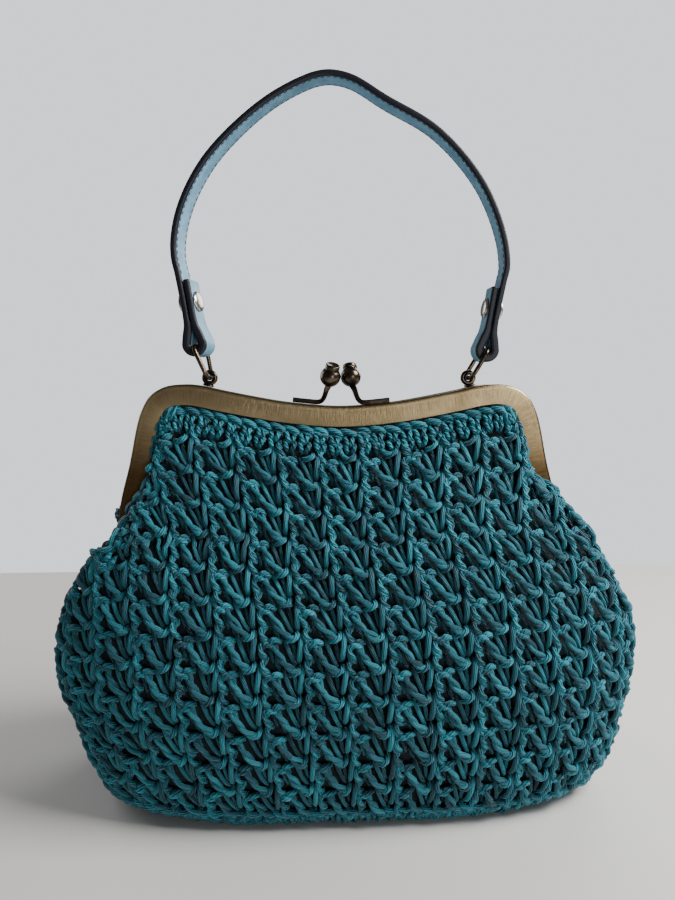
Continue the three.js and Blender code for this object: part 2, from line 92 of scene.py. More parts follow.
def smooth_path(points, count):
    """Evenly spaced points on the smooth curve through the given ones."""
    p = np.array(points, float)
    p = np.vstack([2 * p[0] - p[1], p, 2 * p[-1] - p[-2]])
    spans = np.sqrt(np.linalg.norm(np.diff(p, axis=0), axis=1))
    knots = np.concatenate([[0], np.cumsum(spans)])
    dense = []
    for i in range(1, len(p) - 2):
        k = knots[i - 1:i + 3]
        t = np.linspace(k[1], k[2], 30, endpoint=False)[:, None]
        level = p[i - 1:i + 3]
        for apart in (1, 2):
            level = [((k[j + apart] - t) * level[j] + (t - k[j]) * level[j + 1]) / (k[j + apart] - k[j])
                     for j in range(4 - apart)]
        dense.append(((k[2] - t) * level[0] + (t - k[1]) * level[1]) / (k[2] - k[1]))
    dense = np.vstack(dense + [p[-2:-1]])
    along = lengths_along(dense)
    even = np.linspace(0, along[-1], count)
    return np.stack([np.interp(even, along, dense[:, i]) for i in range(dense.shape[1])], axis=1)


def right_of(path):
    """The direction to the right of travel at each point of a flat path."""
    along = np.gradient(path, axis=0)
    along /= np.linalg.norm(along, axis=1)[:, None]
    return np.stack([along[:, 1], -along[:, 0]], axis=1)


edge_side = [(across * FRAME_HALF_WIDTH, HINGE_HEIGHT + up * FRAME_RISE) for across, up in FRAME_EDGE]
edge_knots = [(-x, z) for x, z in edge_side] + [(0, HINGE_HEIGHT + DIP_UP * FRAME_RISE)] + edge_side[::-1]
frame_edge = smooth_path(edge_knots, EDGE_POINTS)
frame_inwards = right_of(frame_edge)

# The bag is crocheted in the round from the base up, as one soft shell with a full belly.
# Under each hinge its side folds in, and its top edges are sewn into the frame.
# BODY_ROWS are its sections: a height, a half width, a half depth and how square the ring is,
# then how deep the fold at the side goes, and how far the edge of the frame's channel and its
# offset to the left hold there. COLUMNS names them, and all but square are shares.
BELLY_HALF_WIDTH = 154
BELLY_HALF_DEPTH = 60
CHANNEL_OUTER = 7.2
VALLEY_HALF = 16
BAND_GAP = 0.3
RING_POINTS = 300
LONGEST_ARC = 230
COLUMNS = ("up", "wide", "deep", "square", "valley", "edge", "lean")
BODY_ROWS = np.array([
    (0.000, 0.730, 0.810, 3.0, 0.000, 0.0, 0.0),
    (0.014, 0.820, 0.870, 3.1, 0.000, 0.0, 0.0),
    (0.042, 0.885, 0.920, 3.1, 0.000, 0.0, 0.0),
    (0.094, 0.940, 0.965, 3.1, 0.000, 0.0, 0.0),
    (0.189, 0.980, 1.000, 2.9, 0.000, 0.0, 0.0),
    (0.292, 1.000, 1.000, 2.8, 0.004, 0.0, 0.0),
    (0.387, 0.990, 0.950, 2.8, 0.030, 0.0, -0.3),
    (0.462, 0.968, 0.875, 3.0, 0.075, 0.0, -0.3),
    (0.528, 0.934, 0.790, 3.2, 0.145, 0.0, 0.2),
    (0.590, 0.890, 0.690, 3.5, 0.178, 0.4, 0.8),
    (0.651, 0.850, 0.575, 3.8, 0.140, 1.0, 1.0),
    (0.708, 0.787, 0.465, 3.8, 0.070, 1.0, 1.0),
    (0.755, 0.735, 0.390, 3.6, 0.000, 1.0, 1.0),
    (0.825, 0.725, 0.275, 3.4, 0.000, 1.0, 1.0),
    (0.873, 0.725, 0.210, 3.4, 0.000, 1.0, 1.0),
    (0.910, 0.725, 0.172, 3.4, 0.000, 1.0, 1.0),
    (0.943, 0.725, 0.150, 3.4, 0.000, 1.0, 1.0),
    (1.010, 0.725, 0.145, 3.4, 0.000, 1.0, 1.0),
])
# From PANELS_PART up the two panels part round the frame's legs. About COVER_TOP they go from
# lying over the legs to lying inside the frame.
PANELS_PART = 135
COVER_TOP = 157
COVER_BLEND = 7
COVER_END = COVER_TOP + COVER_BLEND
LEG_CLEAR = 9.6
SEWN_DEPTH = 6.2
HEIGHT_STEP = 1.0
ARC_STEP = 0.5


def column(name, height):
    """One column of the body's sections at heights in millimetres, smooth between its rows."""
    values = BODY_ROWS[:, COLUMNS.index(name)]
    ups = BODY_ROWS[:, 0]
    up = np.clip(np.asarray(height, float) / FRAME_TOP, ups[0], ups[-1])
    i = np.clip(np.searchsorted(ups, up, side="right") - 1, 0, len(ups) - 2)
    before = np.maximum(np.arange(len(ups)) - 1, 0)
    after = np.minimum(np.arange(len(ups)) + 1, len(ups) - 1)
    slope = (values[after] - values[before]) / (ups[after] - ups[before])
    step = ups[i + 1] - ups[i]
    t = (up - ups[i]) / step
    start = values[i] * (1 + 2 * t) * (1 - t) ** 2 + slope[i] * step * t * (1 - t) ** 2
    return start + values[i + 1] * t * t * (3 - 2 * t) + slope[i + 1] * step * t * t * (t - 1)


def blend(value, start, end):
    """0 before start, 1 after end and a smooth rise between them."""
    t = np.clip((value - start) / (end - start), 0, 1)
    return t * t * (3 - 2 * t)


inner_edge = frame_edge + frame_inwards * (FRAME_FACE + BAND_GAP)
inner_right = inner_edge[len(inner_edge) // 2:]
inner_leg = inner_right[::-1]
inner_leg = inner_leg[:np.argmax(inner_leg[:, 1]) + 1]
leg_rises = np.maximum.accumulate(inner_leg[:, 1])


def side_limit(height):
    """How far out from the frame's middle the panel reaches at a height."""
    inside = np.interp(height, leg_rises, inner_leg[:, 0])
    return BELLY_HALF_WIDTH + (inside - BELLY_HALF_WIDTH) * blend(height, COVER_TOP - COVER_BLEND, COVER_END)


def quarter_ring(height):
    """A quarter of the body at a height, from the middle of the front round to the side."""
    angle = np.linspace(math.pi / 2, 0, RING_POINTS)
    power = 2 / column("square", height)
    valley = column("valley", height) * BELLY_HALF_WIDTH
    edge = column("edge", height) * CHANNEL_OUTER
    deep = column("deep", height) * BELLY_HALF_DEPTH
    wide = column("wide", height) * BELLY_HALF_WIDTH
    y = edge + (deep - edge) * np.sin(angle) ** power
    x = wide * np.cos(angle) ** power - valley * np.exp(-((y / VALLEY_HALF) ** 4)) * np.cos(angle) ** 2
    x, y = np.append(x, x[-1]), np.append(y, 0)
    x = np.minimum(x, side_limit(height))
    if height > PANELS_PART:
        y = np.maximum(y, SEWN_DEPTH if height > COVER_END else LEG_CLEAR)
    return x, y


heights = np.arange(0, FRAME_TOP + HEIGHT_STEP, HEIGHT_STEP)
arcs = np.arange(0, LONGEST_ARC, ARC_STEP)
grid_x, grid_y, arc_ends = [], [], []
for height in heights:
    x, y = quarter_ring(height)
    arc = np.concatenate([[0], np.cumsum(np.hypot(np.diff(x), np.diff(y)))])
    arc_ends.append(arc[-1])
    if height < PANELS_PART:
        x, y = np.append(x, x[-2::-1]), np.append(y, -y[-2::-1])
        arc = np.append(arc, 2 * arc[-1] - arc[-2::-1])
    arc += np.arange(len(arc)) * 1e-9
    grid_x.append(np.interp(arcs, arc, x))
    grid_y.append(np.interp(arcs, arc, y))
grid_x, grid_y, arc_ends = np.array(grid_x), np.array(grid_y), np.array(arc_ends)


def softened(grid, reach, axis):
    """The grid with each value averaged along one axis, which rounds its ridges."""
    pad = [(reach, reach) if i == axis else (0, 0) for i in range(2)]
    padded = np.pad(grid, pad, mode="reflect", reflect_type="odd")
    total = np.cumsum(np.insert(padded, 0, 0, axis=axis), axis=axis)
    width = 2 * reach + 1
    size = grid.shape[axis]
    late = np.take(total, range(width, width + size), axis=axis)
    return (late - np.take(total, range(size), axis=axis)) / width


# The places are softened along the arcs (axis 1) and up the heights (axis 0), and the
# directions out of the surface follow from their slopes.
for reach, axis in ((5, 1), (4, 1), (3, 1), (2, 0), (2, 0)):
    grid_x = softened(grid_x, reach, axis)
    grid_y = softened(grid_y, reach, axis)
along_x, along_y = np.gradient(grid_x, ARC_STEP, axis=1), np.gradient(grid_y, ARC_STEP, axis=1)
up_x, up_y = np.gradient(grid_x, HEIGHT_STEP, axis=0), np.gradient(grid_y, HEIGHT_STEP, axis=0)
out_z = along_y * up_x - along_x * up_y
out_length = np.sqrt(along_x ** 2 + along_y ** 2 + out_z ** 2) + 1e-9
grids = np.stack([grid_x, grid_y, -along_y / out_length, along_x / out_length, out_z / out_length])

# At the left end of the front, the panel's edge slants out over the frame's leg and leaves
# most of it bare down to the hinge. The bag's left side is a little less full there, and both
# sides are less full low down, the left one more. Where a change fades in or out, its two
# heights are given.
BARE_FROM = 137
BARE_REACH = FRAME_HALF_WIDTH * 1.035
LESS_FULL = 0.042
LESS_FULL_IN = (98, 134)
LESS_FULL_OUT = {"front": (138, 160), "back": (132, 141)}
LOW_LESS_FULL = {-1: 0.078, 1: 0.030}
LOW_IN = (-12, 18)
LOW_OUT = (22, 90)
bare_ends = arc_ends.copy()
for i in np.flatnonzero((heights >= BARE_FROM) & (heights <= COVER_END)):
    limit = np.interp(heights[i], [BARE_FROM, COVER_END], [BARE_REACH, side_limit(COVER_END + 1)])
    bare_ends[i] = np.interp(limit, np.maximum.accumulate(grid_x[i]) + arcs * 1e-6, arcs)

# The lower belly takes 36 stitches a round. Above it the stitches keep about their width, and
# those that find no room end in the fold at the side.
ROUND = 36
HALF_ROUND = ROUND / 2
FULL_ROUND_TOP = 60
TOP_STITCH = 21.2
TOP_STITCH_HEIGHT = 185
even_widths = arc_ends / (HALF_ROUND / 2)
stitch_widths = even_widths + (TOP_STITCH - even_widths) * blend(heights, FULL_ROUND_TOP, TOP_STITCH_HEIGHT)


def on_surface(arc, height, out, side, turned):
    """Points on the body, in millimetres, from their arc round from the middle of a panel, their
    height and how far they stand out. side is 1 to the right, turned is 1 on the front."""
    row = np.clip(height / HEIGHT_STEP, 0, len(heights) - 1.001)
    step = np.clip(arc / ARC_STEP, 0, len(arcs) - 1.001)
    i, j = row.astype(int), step.astype(int)
    a, b = row - i, step - j
    near = grids[:, i, j] * (1 - b) + grids[:, i, j + 1] * b
    far = grids[:, i + 1, j] * (1 - b) + grids[:, i + 1, j + 1] * b
    x, y, nx, ny, nz = near * (1 - a) + far * a
    lean = -column("lean", height) * FRAME_SET_LEFT
    full_again = np.where(np.asarray(turned) > 0, blend(height, *LESS_FULL_OUT["front"]),
                          blend(height, *LESS_FULL_OUT["back"]))
    x = x * (1 - LESS_FULL * (side < 0) * blend(height, *LESS_FULL_IN) * (1 - full_again))
    low = np.where(side < 0, LOW_LESS_FULL[-1], LOW_LESS_FULL[1])
    x = x * (1 - low * blend(height, *LOW_IN) * (1 - blend(height, *LOW_OUT)))
    return np.stack([(x + nx * out) * side + lean, -(y + ny * out) * turned, height + nz * out], axis=1)


def room_at(height, side, turned):
    """The arc at which a panel ends at a height."""
    bare = (side < 0) & (turned > 0)
    return np.where(bare, np.interp(height, heights, bare_ends), np.interp(height, heights, arc_ends))


def on_body(turn, height, out, half=None):
    """Points on the body, in millimetres, from how many stitches round from the middle of the
    front they are, their height and how far they stand out, with their arcs and the arcs at
    which their panels end. half tells which panel's they are."""
    half = np.round(turn / HALF_ROUND) if half is None else half
    local = turn - half * HALF_ROUND
    arc = np.abs(local) * np.interp(height, heights, stitch_widths)
    turned = np.where(half % 2 == 0, 1, -1)
    side = np.where(local < 0, -1, 1) * turned
    return on_surface(arc, height, out, side, turned), arc, room_at(height, side, turned)


# The pattern of the crochet: each stitch has the same strands of plied cotton, measured from
# the bottom of its V. A strand has a name, a radius, how far apart the two strands are that it
# is twisted from, or 0, and its points: across is a share of the stitch's width, up of its
# height, and out is in millimetres from the ground of the fabric.
STITCH_WIDTH = 20.5
STITCH_HEIGHT = 15.5
GROUND_DEPTH = 3.4
SHADED_FROM = 1.2
SHADED_DEPTH = 5.5
DEEP = 0.95
THIN = 1.05
THICK = 1.4
STRANDS = [
    ("left_leg", 1.2, 0, [
        (-0.45, 0.68, 0.6), (-0.40, 0.52, 2.2), (-0.31, 0.24, 2.8), (-0.22, -0.02, 2.4),
        (-0.15, -0.22, 0.8)]),
    ("under_leg", 1.1, 0, [
        (-0.22, 0.66, 0.2), (-0.18, 0.40, 1.7), (-0.14, 0.12, 1.6), (-0.10, -0.06, 0.2)]),
    ("right_leg", THICK, 0, [
        (0.03, 0.84, 0.8), (0.01, 0.68, 3.2), (-0.02, 0.36, 4.2), (-0.04, 0.08, 3.4), (-0.05, -0.08, 0.4)]),
    ("cross", 1.2, 0.85, [
        (-0.66, 0.50, 2.2), (-0.60, 0.30, 3.6), (-0.49, 0.06, 4.2), (-0.35, -0.17, 4.2), (-0.19, -0.31, 4.0),
        (-0.06, -0.36, 2.4)]),
    ("cross_end", THICK, 0, [
        (-0.30, -0.41, 1.8), (-0.22, -0.43, 3.6), (-0.12, -0.38, 4.5), (-0.05, -0.28, 3.4),
        (-0.04, -0.18, 0.8)]),
    ("braid_upper", 1.2, 0.8, [
        (0.22, 0.50, 1.8), (0.13, 0.36, 3.6), (0.12, 0.20, 3.9), (0.19, 0.05, 3.6), (0.26, -0.06, 1.8)]),
    ("braid_lower", 1.2, 0.8, [
        (0.22, 0.04, 1.8), (0.15, -0.12, 3.6), (0.14, -0.27, 3.9), (0.22, -0.42, 3.6), (0.30, -0.53, 1.8)]),
    ("right_nub", THICK, 0, [
        (0.13, 0.34, 2.0), (0.19, 0.44, 4.2), (0.30, 0.44, 4.4), (0.38, 0.36, 2.0)]),
    ("cross_top", THICK, 0, [
        (-0.74, 0.36, 1.8), (-0.71, 0.51, 3.9), (-0.60, 0.57, 4.2), (-0.50, 0.48, 1.8)]),
    ("deep_left", DEEP, 0, [(-0.60, 0.06, 0.2), (-0.55, -0.20, 1.4), (-0.45, -0.42, 0.4)]),
    ("deep_right", DEEP, 0, [(0.24, 0.32, 0.2), (0.33, 0.08, 1.3), (0.38, -0.18, 0.2)]),
]
PLY_PITCH = 1.7
TWIST = 0.48
TWIST_STEP = 1.35
TWIST_START = -0.9
TWIST_FLATNESS = 0.8
ROWS = 13
TOP_ROW = 12
ROW_LEAN = -0.075
FIRST_ROW = 13
JITTER = 0.33
MERGE = 1e-4
rng = np.random.default_rng(11)


def twisted(points, spread):
    """Two strands that are twisted round each other along a path."""
    length = lengths_along(points)[-1]
    path = smooth_path(points, max(6, int(length / TWIST_STEP)))
    along = np.gradient(path, axis=0)
    along /= np.linalg.norm(along, axis=1)[:, None]
    out = np.array([0, -1, 0])
    across = np.cross(along, out)
    across /= np.linalg.norm(across, axis=1)[:, None]
    lift = np.cross(across, along)
    turn = (TWIST_START + np.linspace(0, length, len(path)) * TWIST)[:, None]
    offset = spread * (np.cos(turn) * across + TWIST_FLATNESS * np.sin(turn) * lift)
    return [path + offset, path - offset]


def made_real(holder):
    """The mesh that an object's curve or modifiers make. The object is removed."""
    mesh = bpy.data.meshes.new_from_object(holder.evaluated_get(bpy.context.evaluated_depsgraph_get()))
    bpy.data.objects.remove(holder)
    return mesh


def opened(*meshes):
    """A bmesh that holds all the given meshes."""
    work = bmesh.new()
    for mesh in meshes:
        work.from_mesh(mesh)
    return work


def written(work, mesh):
    """The mesh that a bmesh was written to: a given one, or a new one of a given name."""
    mesh = bpy.data.meshes.new(mesh) if isinstance(mesh, str) else mesh
    work.to_mesh(mesh)
    work.free()
    return mesh


def strand(points, radius, closed=False, steps=2, sides=1):
    """A round strand through the points as a mesh, with its UV map round and along it. Its
    doubled vertices are joined, so that its ends are closed."""
    curve = bpy.data.curves.new("strand", "CURVE")
    curve.dimensions = "3D"
    curve.resolution_u = steps
    curve.bevel_depth = radius
    curve.bevel_resolution = sides
    curve.use_fill_caps = not closed
    spline = curve.splines.new("BEZIER")
    spline.bezier_points.add(len(points) - 1)
    for knot, point in zip(spline.bezier_points, points):
        knot.co = point
        knot.handle_left_type = knot.handle_right_type = "AUTO"
    spline.use_cyclic_u = closed
    mesh = made_real(in_scene("strand", curve))
    length = lengths_along(points)[-1]
    for corner in mesh.uv_layers[0].data:
        corner.uv.y *= length / PLY_PITCH
    work = opened(mesh)
    bmesh.ops.remove_doubles(work, verts=work.verts, dist=MERGE)
    bmesh.ops.recalc_face_normals(work, faces=work.faces)
    return written(work, mesh)


def motif(strands, width, height, ground):
    """The strands of one stitch as a flat mesh, facing -Y, and which strand each vertex is in."""
    work = bmesh.new()
    owners = []
    for name, radius, spread, points in strands:
        path = [(across * width, ground - out, up * height) for across, up, out in points]
        for line in twisted(path, spread) if spread else [path]:
            work.from_mesh(strand(line, radius, steps=1 if spread else 2))
            owners += [max(owners, default=-1) + 1] * (len(work.verts) - len(owners))
    bmesh.ops.recalc_face_normals(work, faces=work.faces)
    return written(work, "motif"), np.array(owners)


def repeated(mesh, counts, steps):
    """The mesh of a motif repeated by array modifiers."""
    holder = in_scene("repeated", mesh)
    for count, step in zip(counts, steps):
        array = holder.modifiers.new("repeat", "ARRAY")
        array.count = count
        array.use_relative_offset = False
        array.use_constant_offset = True
        array.constant_offset_displace = step
    return made_real(holder)


def coordinates(mesh):
    """The mesh's vertices as an array."""
    flat = np.empty(len(mesh.vertices) * 3)
    mesh.vertices.foreach_get("co", flat)
    return flat.reshape(-1, 3)


def moved(mesh, places, scale=MM):
    """Moves the mesh's vertices to places in millimetres, which are turned to metres unless the
    scale is 1."""
    mesh.vertices.foreach_set("co", (places * scale).ravel())
    return mesh


def strand_numbers(owner, copies):
    """Which strand each vertex of a repeated motif is in, and how many strands there are."""
    strands = owner.max() + 1
    return np.repeat(np.arange(copies), len(owner)) * strands + np.tile(owner, copies), copies * strands


def strand_means(values, island):
    """The mean of a value over each strand's vertices."""
    return np.bincount(island, weights=values) / np.bincount(island)


def write_floats(mesh, name, values):
    """Stores a number on each vertex for the material."""
    attribute = mesh.attributes.new(name, "FLOAT", "POINT")
    attribute.data.foreach_set("value", values.astype(np.float32))


def how_far_out(flat):
    """How far out the flat motif's vertices are, 0 on the ground and 1 on top, for painted shade."""
    return np.clip((GROUND_DEPTH - flat[:, 1] + SHADED_FROM) / SHADED_DEPTH, 0, 1)


def finished(name, mesh, material, replaced, sharp=None):
    """Makes a mesh a smooth, named piece of the bag in place of a solid, with edges sharper than
    an angle kept."""
    mesh.materials.clear()
    mesh.materials.append(material)
    mesh.shade_smooth()
    if sharp:
        mesh.set_sharp_from_angle(angle=math.radians(sharp))
    piece = in_scene(name, mesh)
    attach(piece, "root")
    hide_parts(replaced)
    return piece


def without(mesh, unwanted):
    """Deletes the marked vertices of a mesh."""
    work = opened(mesh)
    work.verts.ensure_lookup_table()
    bmesh.ops.delete(work, geom=[work.verts[i] for i in np.flatnonzero(unwanted)], context="VERTS")
    written(work, mesh)


class Nodes:
    """Short ways to add and join the nodes of one material."""

    def __init__(self, name):
        self.material = bpy.data.materials.new(name)
        self.material.use_nodes = True
        self.tree = self.material.node_tree
        self.shader = self.tree.nodes["Principled BSDF"]

    def feed(self, slot, value):
        """Joins a node's output to a slot, or sets the slot's own value."""
        if isinstance(value, bpy.types.NodeSocket):
            self.tree.links.new(value, slot)
        else:
            slot.default_value = value

    def node(self, kind, settings=None, **inputs):
        """A node, with its slots given by name, or by number as i0, i1 and so on."""
        node = self.tree.nodes.new("ShaderNode" + kind)
        for key, value in (settings or {}).items():
            setattr(node, key, value)
        for key, value in inputs.items():
            numbered = key[0] == "i" and key[1:].isdigit()
            self.feed(node.inputs[int(key[1:]) if numbered else key], value)
        return node

    def add(self, kind, settings=None, **inputs):
        """The first output of a new node."""
        return self.node(kind, settings, **inputs).outputs[0]

    def math(self, operation, a, b=0.0):
        """A sum, a product or the like."""
        return self.add("Math", {"operation": operation}, i0=a, i1=b)

    def place(self):
        """The place on the object, by which a pattern is laid out."""
        return self.node("TexCoord").outputs["Object"]

    def noise(self, scale, detail=2.0):
        """Noise all over the object."""
        return self.add("TexNoise", Vector=self.place(), Scale=scale, Detail=detail)

    def split(self, vector):
        """The three numbers of a vector."""
        return self.node("SeparateXYZ", i0=vector).outputs[:3]

    def stored(self, name):
        """A number that write_floats stored on the vertices."""
        return self.node("Attribute", {"attribute_name": name}).outputs["Fac"]

    def ramp(self, factor, stops):
        """A colour, or a grey given as one number, that changes with a factor."""
        node = self.node("ValToRGB", i0=factor)
        elements = node.color_ramp.elements
        while len(elements) < len(stops):
            elements.new(0.5)
        for element, (place, colour) in zip(elements, stops):
            element.position = place
            element.color = (*np.broadcast_to(colour, 3), 1)
        return node.outputs[0]

    def blended(self, how, factor, a, b):
        """Two colours mixed or multiplied."""
        return self.node("Mix", {"data_type": "RGBA", "blend_type": how}, i0=factor, i6=a, i7=b).outputs[2]

    def bump(self, height, strength, distance):
        """Lets the light fall as on a surface with small heights."""
        self.set(Normal=self.add("Bump", Strength=strength, Distance=distance, Height=height))

    def set(self, **inputs):
        """Sets or feeds the slots of the shader."""
        for key, value in inputs.items():
            self.feed(self.shader.inputs[key.replace("_", " ")], value)


# The yarn is mercerised cotton of a few plies, which shows as slanting lines round each
# strand. Each strand has its own shade, and what lies deep between strands gets painted shade.
yarn = Nodes("yarn")
yarn_round, yarn_along = yarn.split(yarn.add("UVMap"))[:2]
ply_phase = yarn.math("ADD", yarn.math("MULTIPLY", yarn_round, 4.0), yarn_along)
plies = yarn.math("SINE", yarn.math("MULTIPLY", ply_phase, 2 * math.pi))
fuzz = yarn.noise(2600.0)
shade = yarn.math("ADD", yarn.stored("tone"), yarn.math("MULTIPLY", plies, 0.10))
shade = yarn.math("ADD", shade, yarn.math("MULTIPLY", fuzz, 0.25))
yarn_colour = yarn.ramp(shade, [(0.10, (0.003, 0.034, 0.050)), (0.50, (0.006, 0.098, 0.136)),
                                (0.95, (0.018, 0.230, 0.290))])
# Painted shade: the yarn's colour darkens where a strand lies deep between others.
yarn_painted_shade = yarn.ramp(yarn.stored("painted_shade"), [(0.25, (0.05, 0.07, 0.09)), (0.92, 1)])
yarn.set(Base_Color=yarn.blended("MULTIPLY", 1.0, yarn_colour, yarn_painted_shade), Roughness=0.60,
         Sheen_Weight=0.25, Sheen_Roughness=0.4, Sheen_Tint=(0.45, 0.85, 0.95, 1), Specular_IOR_Level=0.28)
yarn.bump(yarn.math("ADD", plies, yarn.math("MULTIPLY", fuzz, 0.5)), 0.8, 0.0004)

motif_mesh, motif_owner = motif(STRANDS, STITCH_WIDTH, STITCH_HEIGHT, GROUND_DEPTH)

# Rows are evenly spaced along the middle of the front, and near the top they follow the dip
# of the frame.
EDGING_HEIGHT = 11.5
COVERED_DEPTH = 1.8
DIP_DEPTH = 11.5
DIP_HALF = 85
DIP_FADE = 2.2
DIP_MOST = 1.2
front_y = column("deep", heights) * BELLY_HALF_DEPTH
climb = np.concatenate([[0], np.cumsum(np.hypot(np.diff(front_y), HEIGHT_STEP))])
top_middle = HINGE_HEIGHT + DIP_UP * FRAME_RISE - FRAME_FACE - EDGING_HEIGHT
climb_from, climb_to = np.interp([FIRST_ROW, top_middle], heights, climb)


def row_height(row, turn, half):
    """The height of a place given in rows up from the first one."""
    height = np.interp(climb_from + (climb_to - climb_from) * row / TOP_ROW, climb, heights)
    local = turn - half * HALF_ROUND
    reach = np.abs(local) * np.interp(height, heights, stitch_widths)
    dip = DIP_DEPTH * (1 - np.cos(math.pi * np.clip(reach / DIP_HALF, 0, 1))) / 2
    return height + dip * np.clip(row / TOP_ROW, 0, DIP_MOST) ** DIP_FADE


# The bag's sides are four joined stretches of stitches, a quarter of the round each. Strands
# that reach past a panel's end or top are left out, and those under the edging lie deeper.
# Margins and ranges are in millimetres from that end or top.
QUARTER = ROUND // 4
PANEL_TONES = (0.46, 0.20)
PANEL_TONE_RANGE = (0.03, 0.97)
SHIFT_WHOLE = (1, 0.4, 1)
UNDER_EDGING_TOP = (-2, 4)
UNDER_EDGING_END = (-10, -6)
UNDER_EDGING_FROM = PANELS_PART + 5
END_CLEAR = 1.5
TOP_CLEAR = 3
CORNER_DOWN = 10
CORNER_IN = 18
MIDDLE_PAST_END = 1.2
MIDDLE_PAST_END_HIGH = -5.5
BAND_LOWER_HALF = 84
band_lower = inner_edge[np.abs(inner_edge[:, 0]) < BAND_LOWER_HALF]


def band_bottom(x):
    """The height of the band's lower edge at a place across."""
    return np.interp(x + FRAME_SET_LEFT, band_lower[:, 0], band_lower[:, 1])


def crochet_panel(name, first):
    """A quarter of the round from its first stitch on, as one joined mesh."""
    sheet = repeated(motif_mesh, (QUARTER, ROWS),
                     ((STITCH_WIDTH, 0, 0), (ROW_LEAN * STITCH_HEIGHT, 0, STITCH_HEIGHT)))
    flat = coordinates(sheet)
    out = how_far_out(flat)
    copies = QUARTER * ROWS
    island, islands = strand_numbers(motif_owner, copies)
    flat = flat + rng.normal(0, JITTER, (islands, 3))[island]
    flat = flat + rng.normal(0, JITTER, (copies, 3))[island // (islands // copies)] * SHIFT_WHOLE
    turn = first + 0.5 + flat[:, 0] / STITCH_WIDTH
    half = np.round(strand_means(turn, island) / HALF_ROUND)[island]
    height = row_height(flat[:, 2] / STITCH_HEIGHT, turn, half)
    places, arc, room = on_body(turn, height, -flat[:, 1], half)
    top = band_bottom(places[:, 0])
    under_top = blend(height - top + EDGING_HEIGHT, *UNDER_EDGING_TOP)
    under_end = blend(arc - room, *UNDER_EDGING_END) * (height > UNDER_EDGING_FROM)
    deeper = COVERED_DEPTH * np.maximum(under_top, under_end)
    places = on_body(turn, height, -flat[:, 1] - deeper, half)[0]
    outside = (height > PANELS_PART) & (arc > room - END_CLEAR)
    outside |= height > top - TOP_CLEAR
    outside |= (height > top - CORNER_DOWN) & (arc > room - CORNER_IN)
    high = strand_means(height, island)
    margin = np.where(high > COVER_TOP, MIDDLE_PAST_END_HIGH, MIDDLE_PAST_END)
    past_end = (strand_means(arc - room, island) > margin) & (high > FULL_ROUND_TOP)
    dropped = (strand_means(outside, island) > 0) | past_end
    write_floats(sheet, "tone", np.clip(rng.normal(*PANEL_TONES, islands), *PANEL_TONE_RANGE)[island])
    # How far out each vertex lies, which the yarn turns into painted shade between strands.
    write_floats(sheet, "painted_shade", out)
    without(moved(sheet, places), dropped[island])
    return finished(name, sheet, yarn.material, "woven_body")


for quarter, panel_name in enumerate(("crochet_front", "crochet_right", "crochet_back", "crochet_left")):
    crochet_panel(panel_name, (quarter - 0.5) * QUARTER)

# Two close rounds of single crochet finish the edge of each panel: short upright legs and a
# chain of slanting links over them. They follow the band's lower edge and its legs.
EDGING_STITCH = 7.3
EDGING = [
    ("link", THICK, 0, [
        (-0.62, 1.02, 1.0), (-0.42, 1.00, 3.4), (0.05, 0.94, 4.4), (0.45, 0.86, 3.4), (0.62, 0.80, 1.2)]),
    ("link_under", THIN, 0, [
        (-0.45, 0.84, 1.4), (-0.15, 0.85, 2.8), (0.25, 0.76, 2.8), (0.50, 0.66, 1.0)]),
    ("upper_left_leg", 1.25, 0, [
        (-0.30, 0.80, 1.2), (-0.26, 0.66, 3.2), (-0.14, 0.48, 3.4), (-0.06, 0.36, 1.2)]),
    ("upper_right_leg", 1.25, 0, [
        (0.22, 0.76, 1.2), (0.22, 0.62, 3.0), (0.14, 0.46, 3.2), (0.06, 0.34, 1.0)]),
    ("lower_left_leg", 1.25, 0, [
        (-0.36, 0.46, 1.2), (-0.30, 0.30, 3.0), (-0.18, 0.12, 3.2), (-0.10, 0.00, 1.0)]),
    ("lower_right_leg", 1.25, 0, [
        (0.34, 0.40, 1.2), (0.30, 0.26, 3.2), (0.20, 0.10, 3.4), (0.08, -0.02, 1.0)]),
]
edging_mesh, edging_owner = motif(EDGING, EDGING_STITCH, EDGING_HEIGHT, GROUND_DEPTH)

# The line that the edging follows, from the middle of the top to the fold at the side, as arc
# and height. ROLLED is the width over which the panel's edge rolls back to EDGE_FACE or, where
# it lies over a bare leg, to BARE_FACE. NARROWED is where along the line it gets narrower.
EDGING_LOWEST = 138
EDGING_END = 124
EDGING_IN = 1.3
EDGING_NARROWER = 0.2
NARROWED = (0.55, 0.75)
EDGING_TONES = (0.48, 0.15)
EDGING_TONE_RANGE = (0.1, 0.9)
HIGH_KNOT_EVERY = 6
LOW_KNOT_STEP = 5.0
SHELF_FROM = 4
SHELF_STEP = 6
ROUTE_POINTS = 300
ROLLED = 6
ROLL_FROM = COVER_TOP - 5
ROLL_RISE = 15
EDGE_FACE = 3
BARE_FACE = 8.6
right_side = inner_right[inner_right[:, 1] > COVER_END]
right_arcs = [np.interp(x, grid_x[int(z)] + np.arange(len(arcs)) * 1e-7, arcs) for x, z in right_side]
low_heights = np.arange(COVER_END - 2, EDGING_LOWEST, -LOW_KNOT_STEP)
high_knots = np.stack([right_arcs, right_side[:, 1]], axis=1)[::HIGH_KNOT_EVERY]


def edging_route(ends):
    """The edging's line for the given ends of the panel: its arcs and heights, the directions
    into the panel and the lengths along it."""
    low_ends = np.interp(low_heights, heights, ends)
    fold = np.interp(PANELS_PART - 1, heights, arc_ends)
    shelf = np.arange(low_ends[-1] + SHELF_FROM, fold, SHELF_STEP)
    shelf_heights = np.linspace(PANELS_PART - 1, EDGING_END, len(shelf))
    knots = np.concatenate([high_knots, np.stack([low_ends, low_heights], axis=1),
                            np.stack([shelf, shelf_heights], axis=1)])
    line = smooth_path(knots, ROUTE_POINTS)
    return line, right_of(line), lengths_along(line)


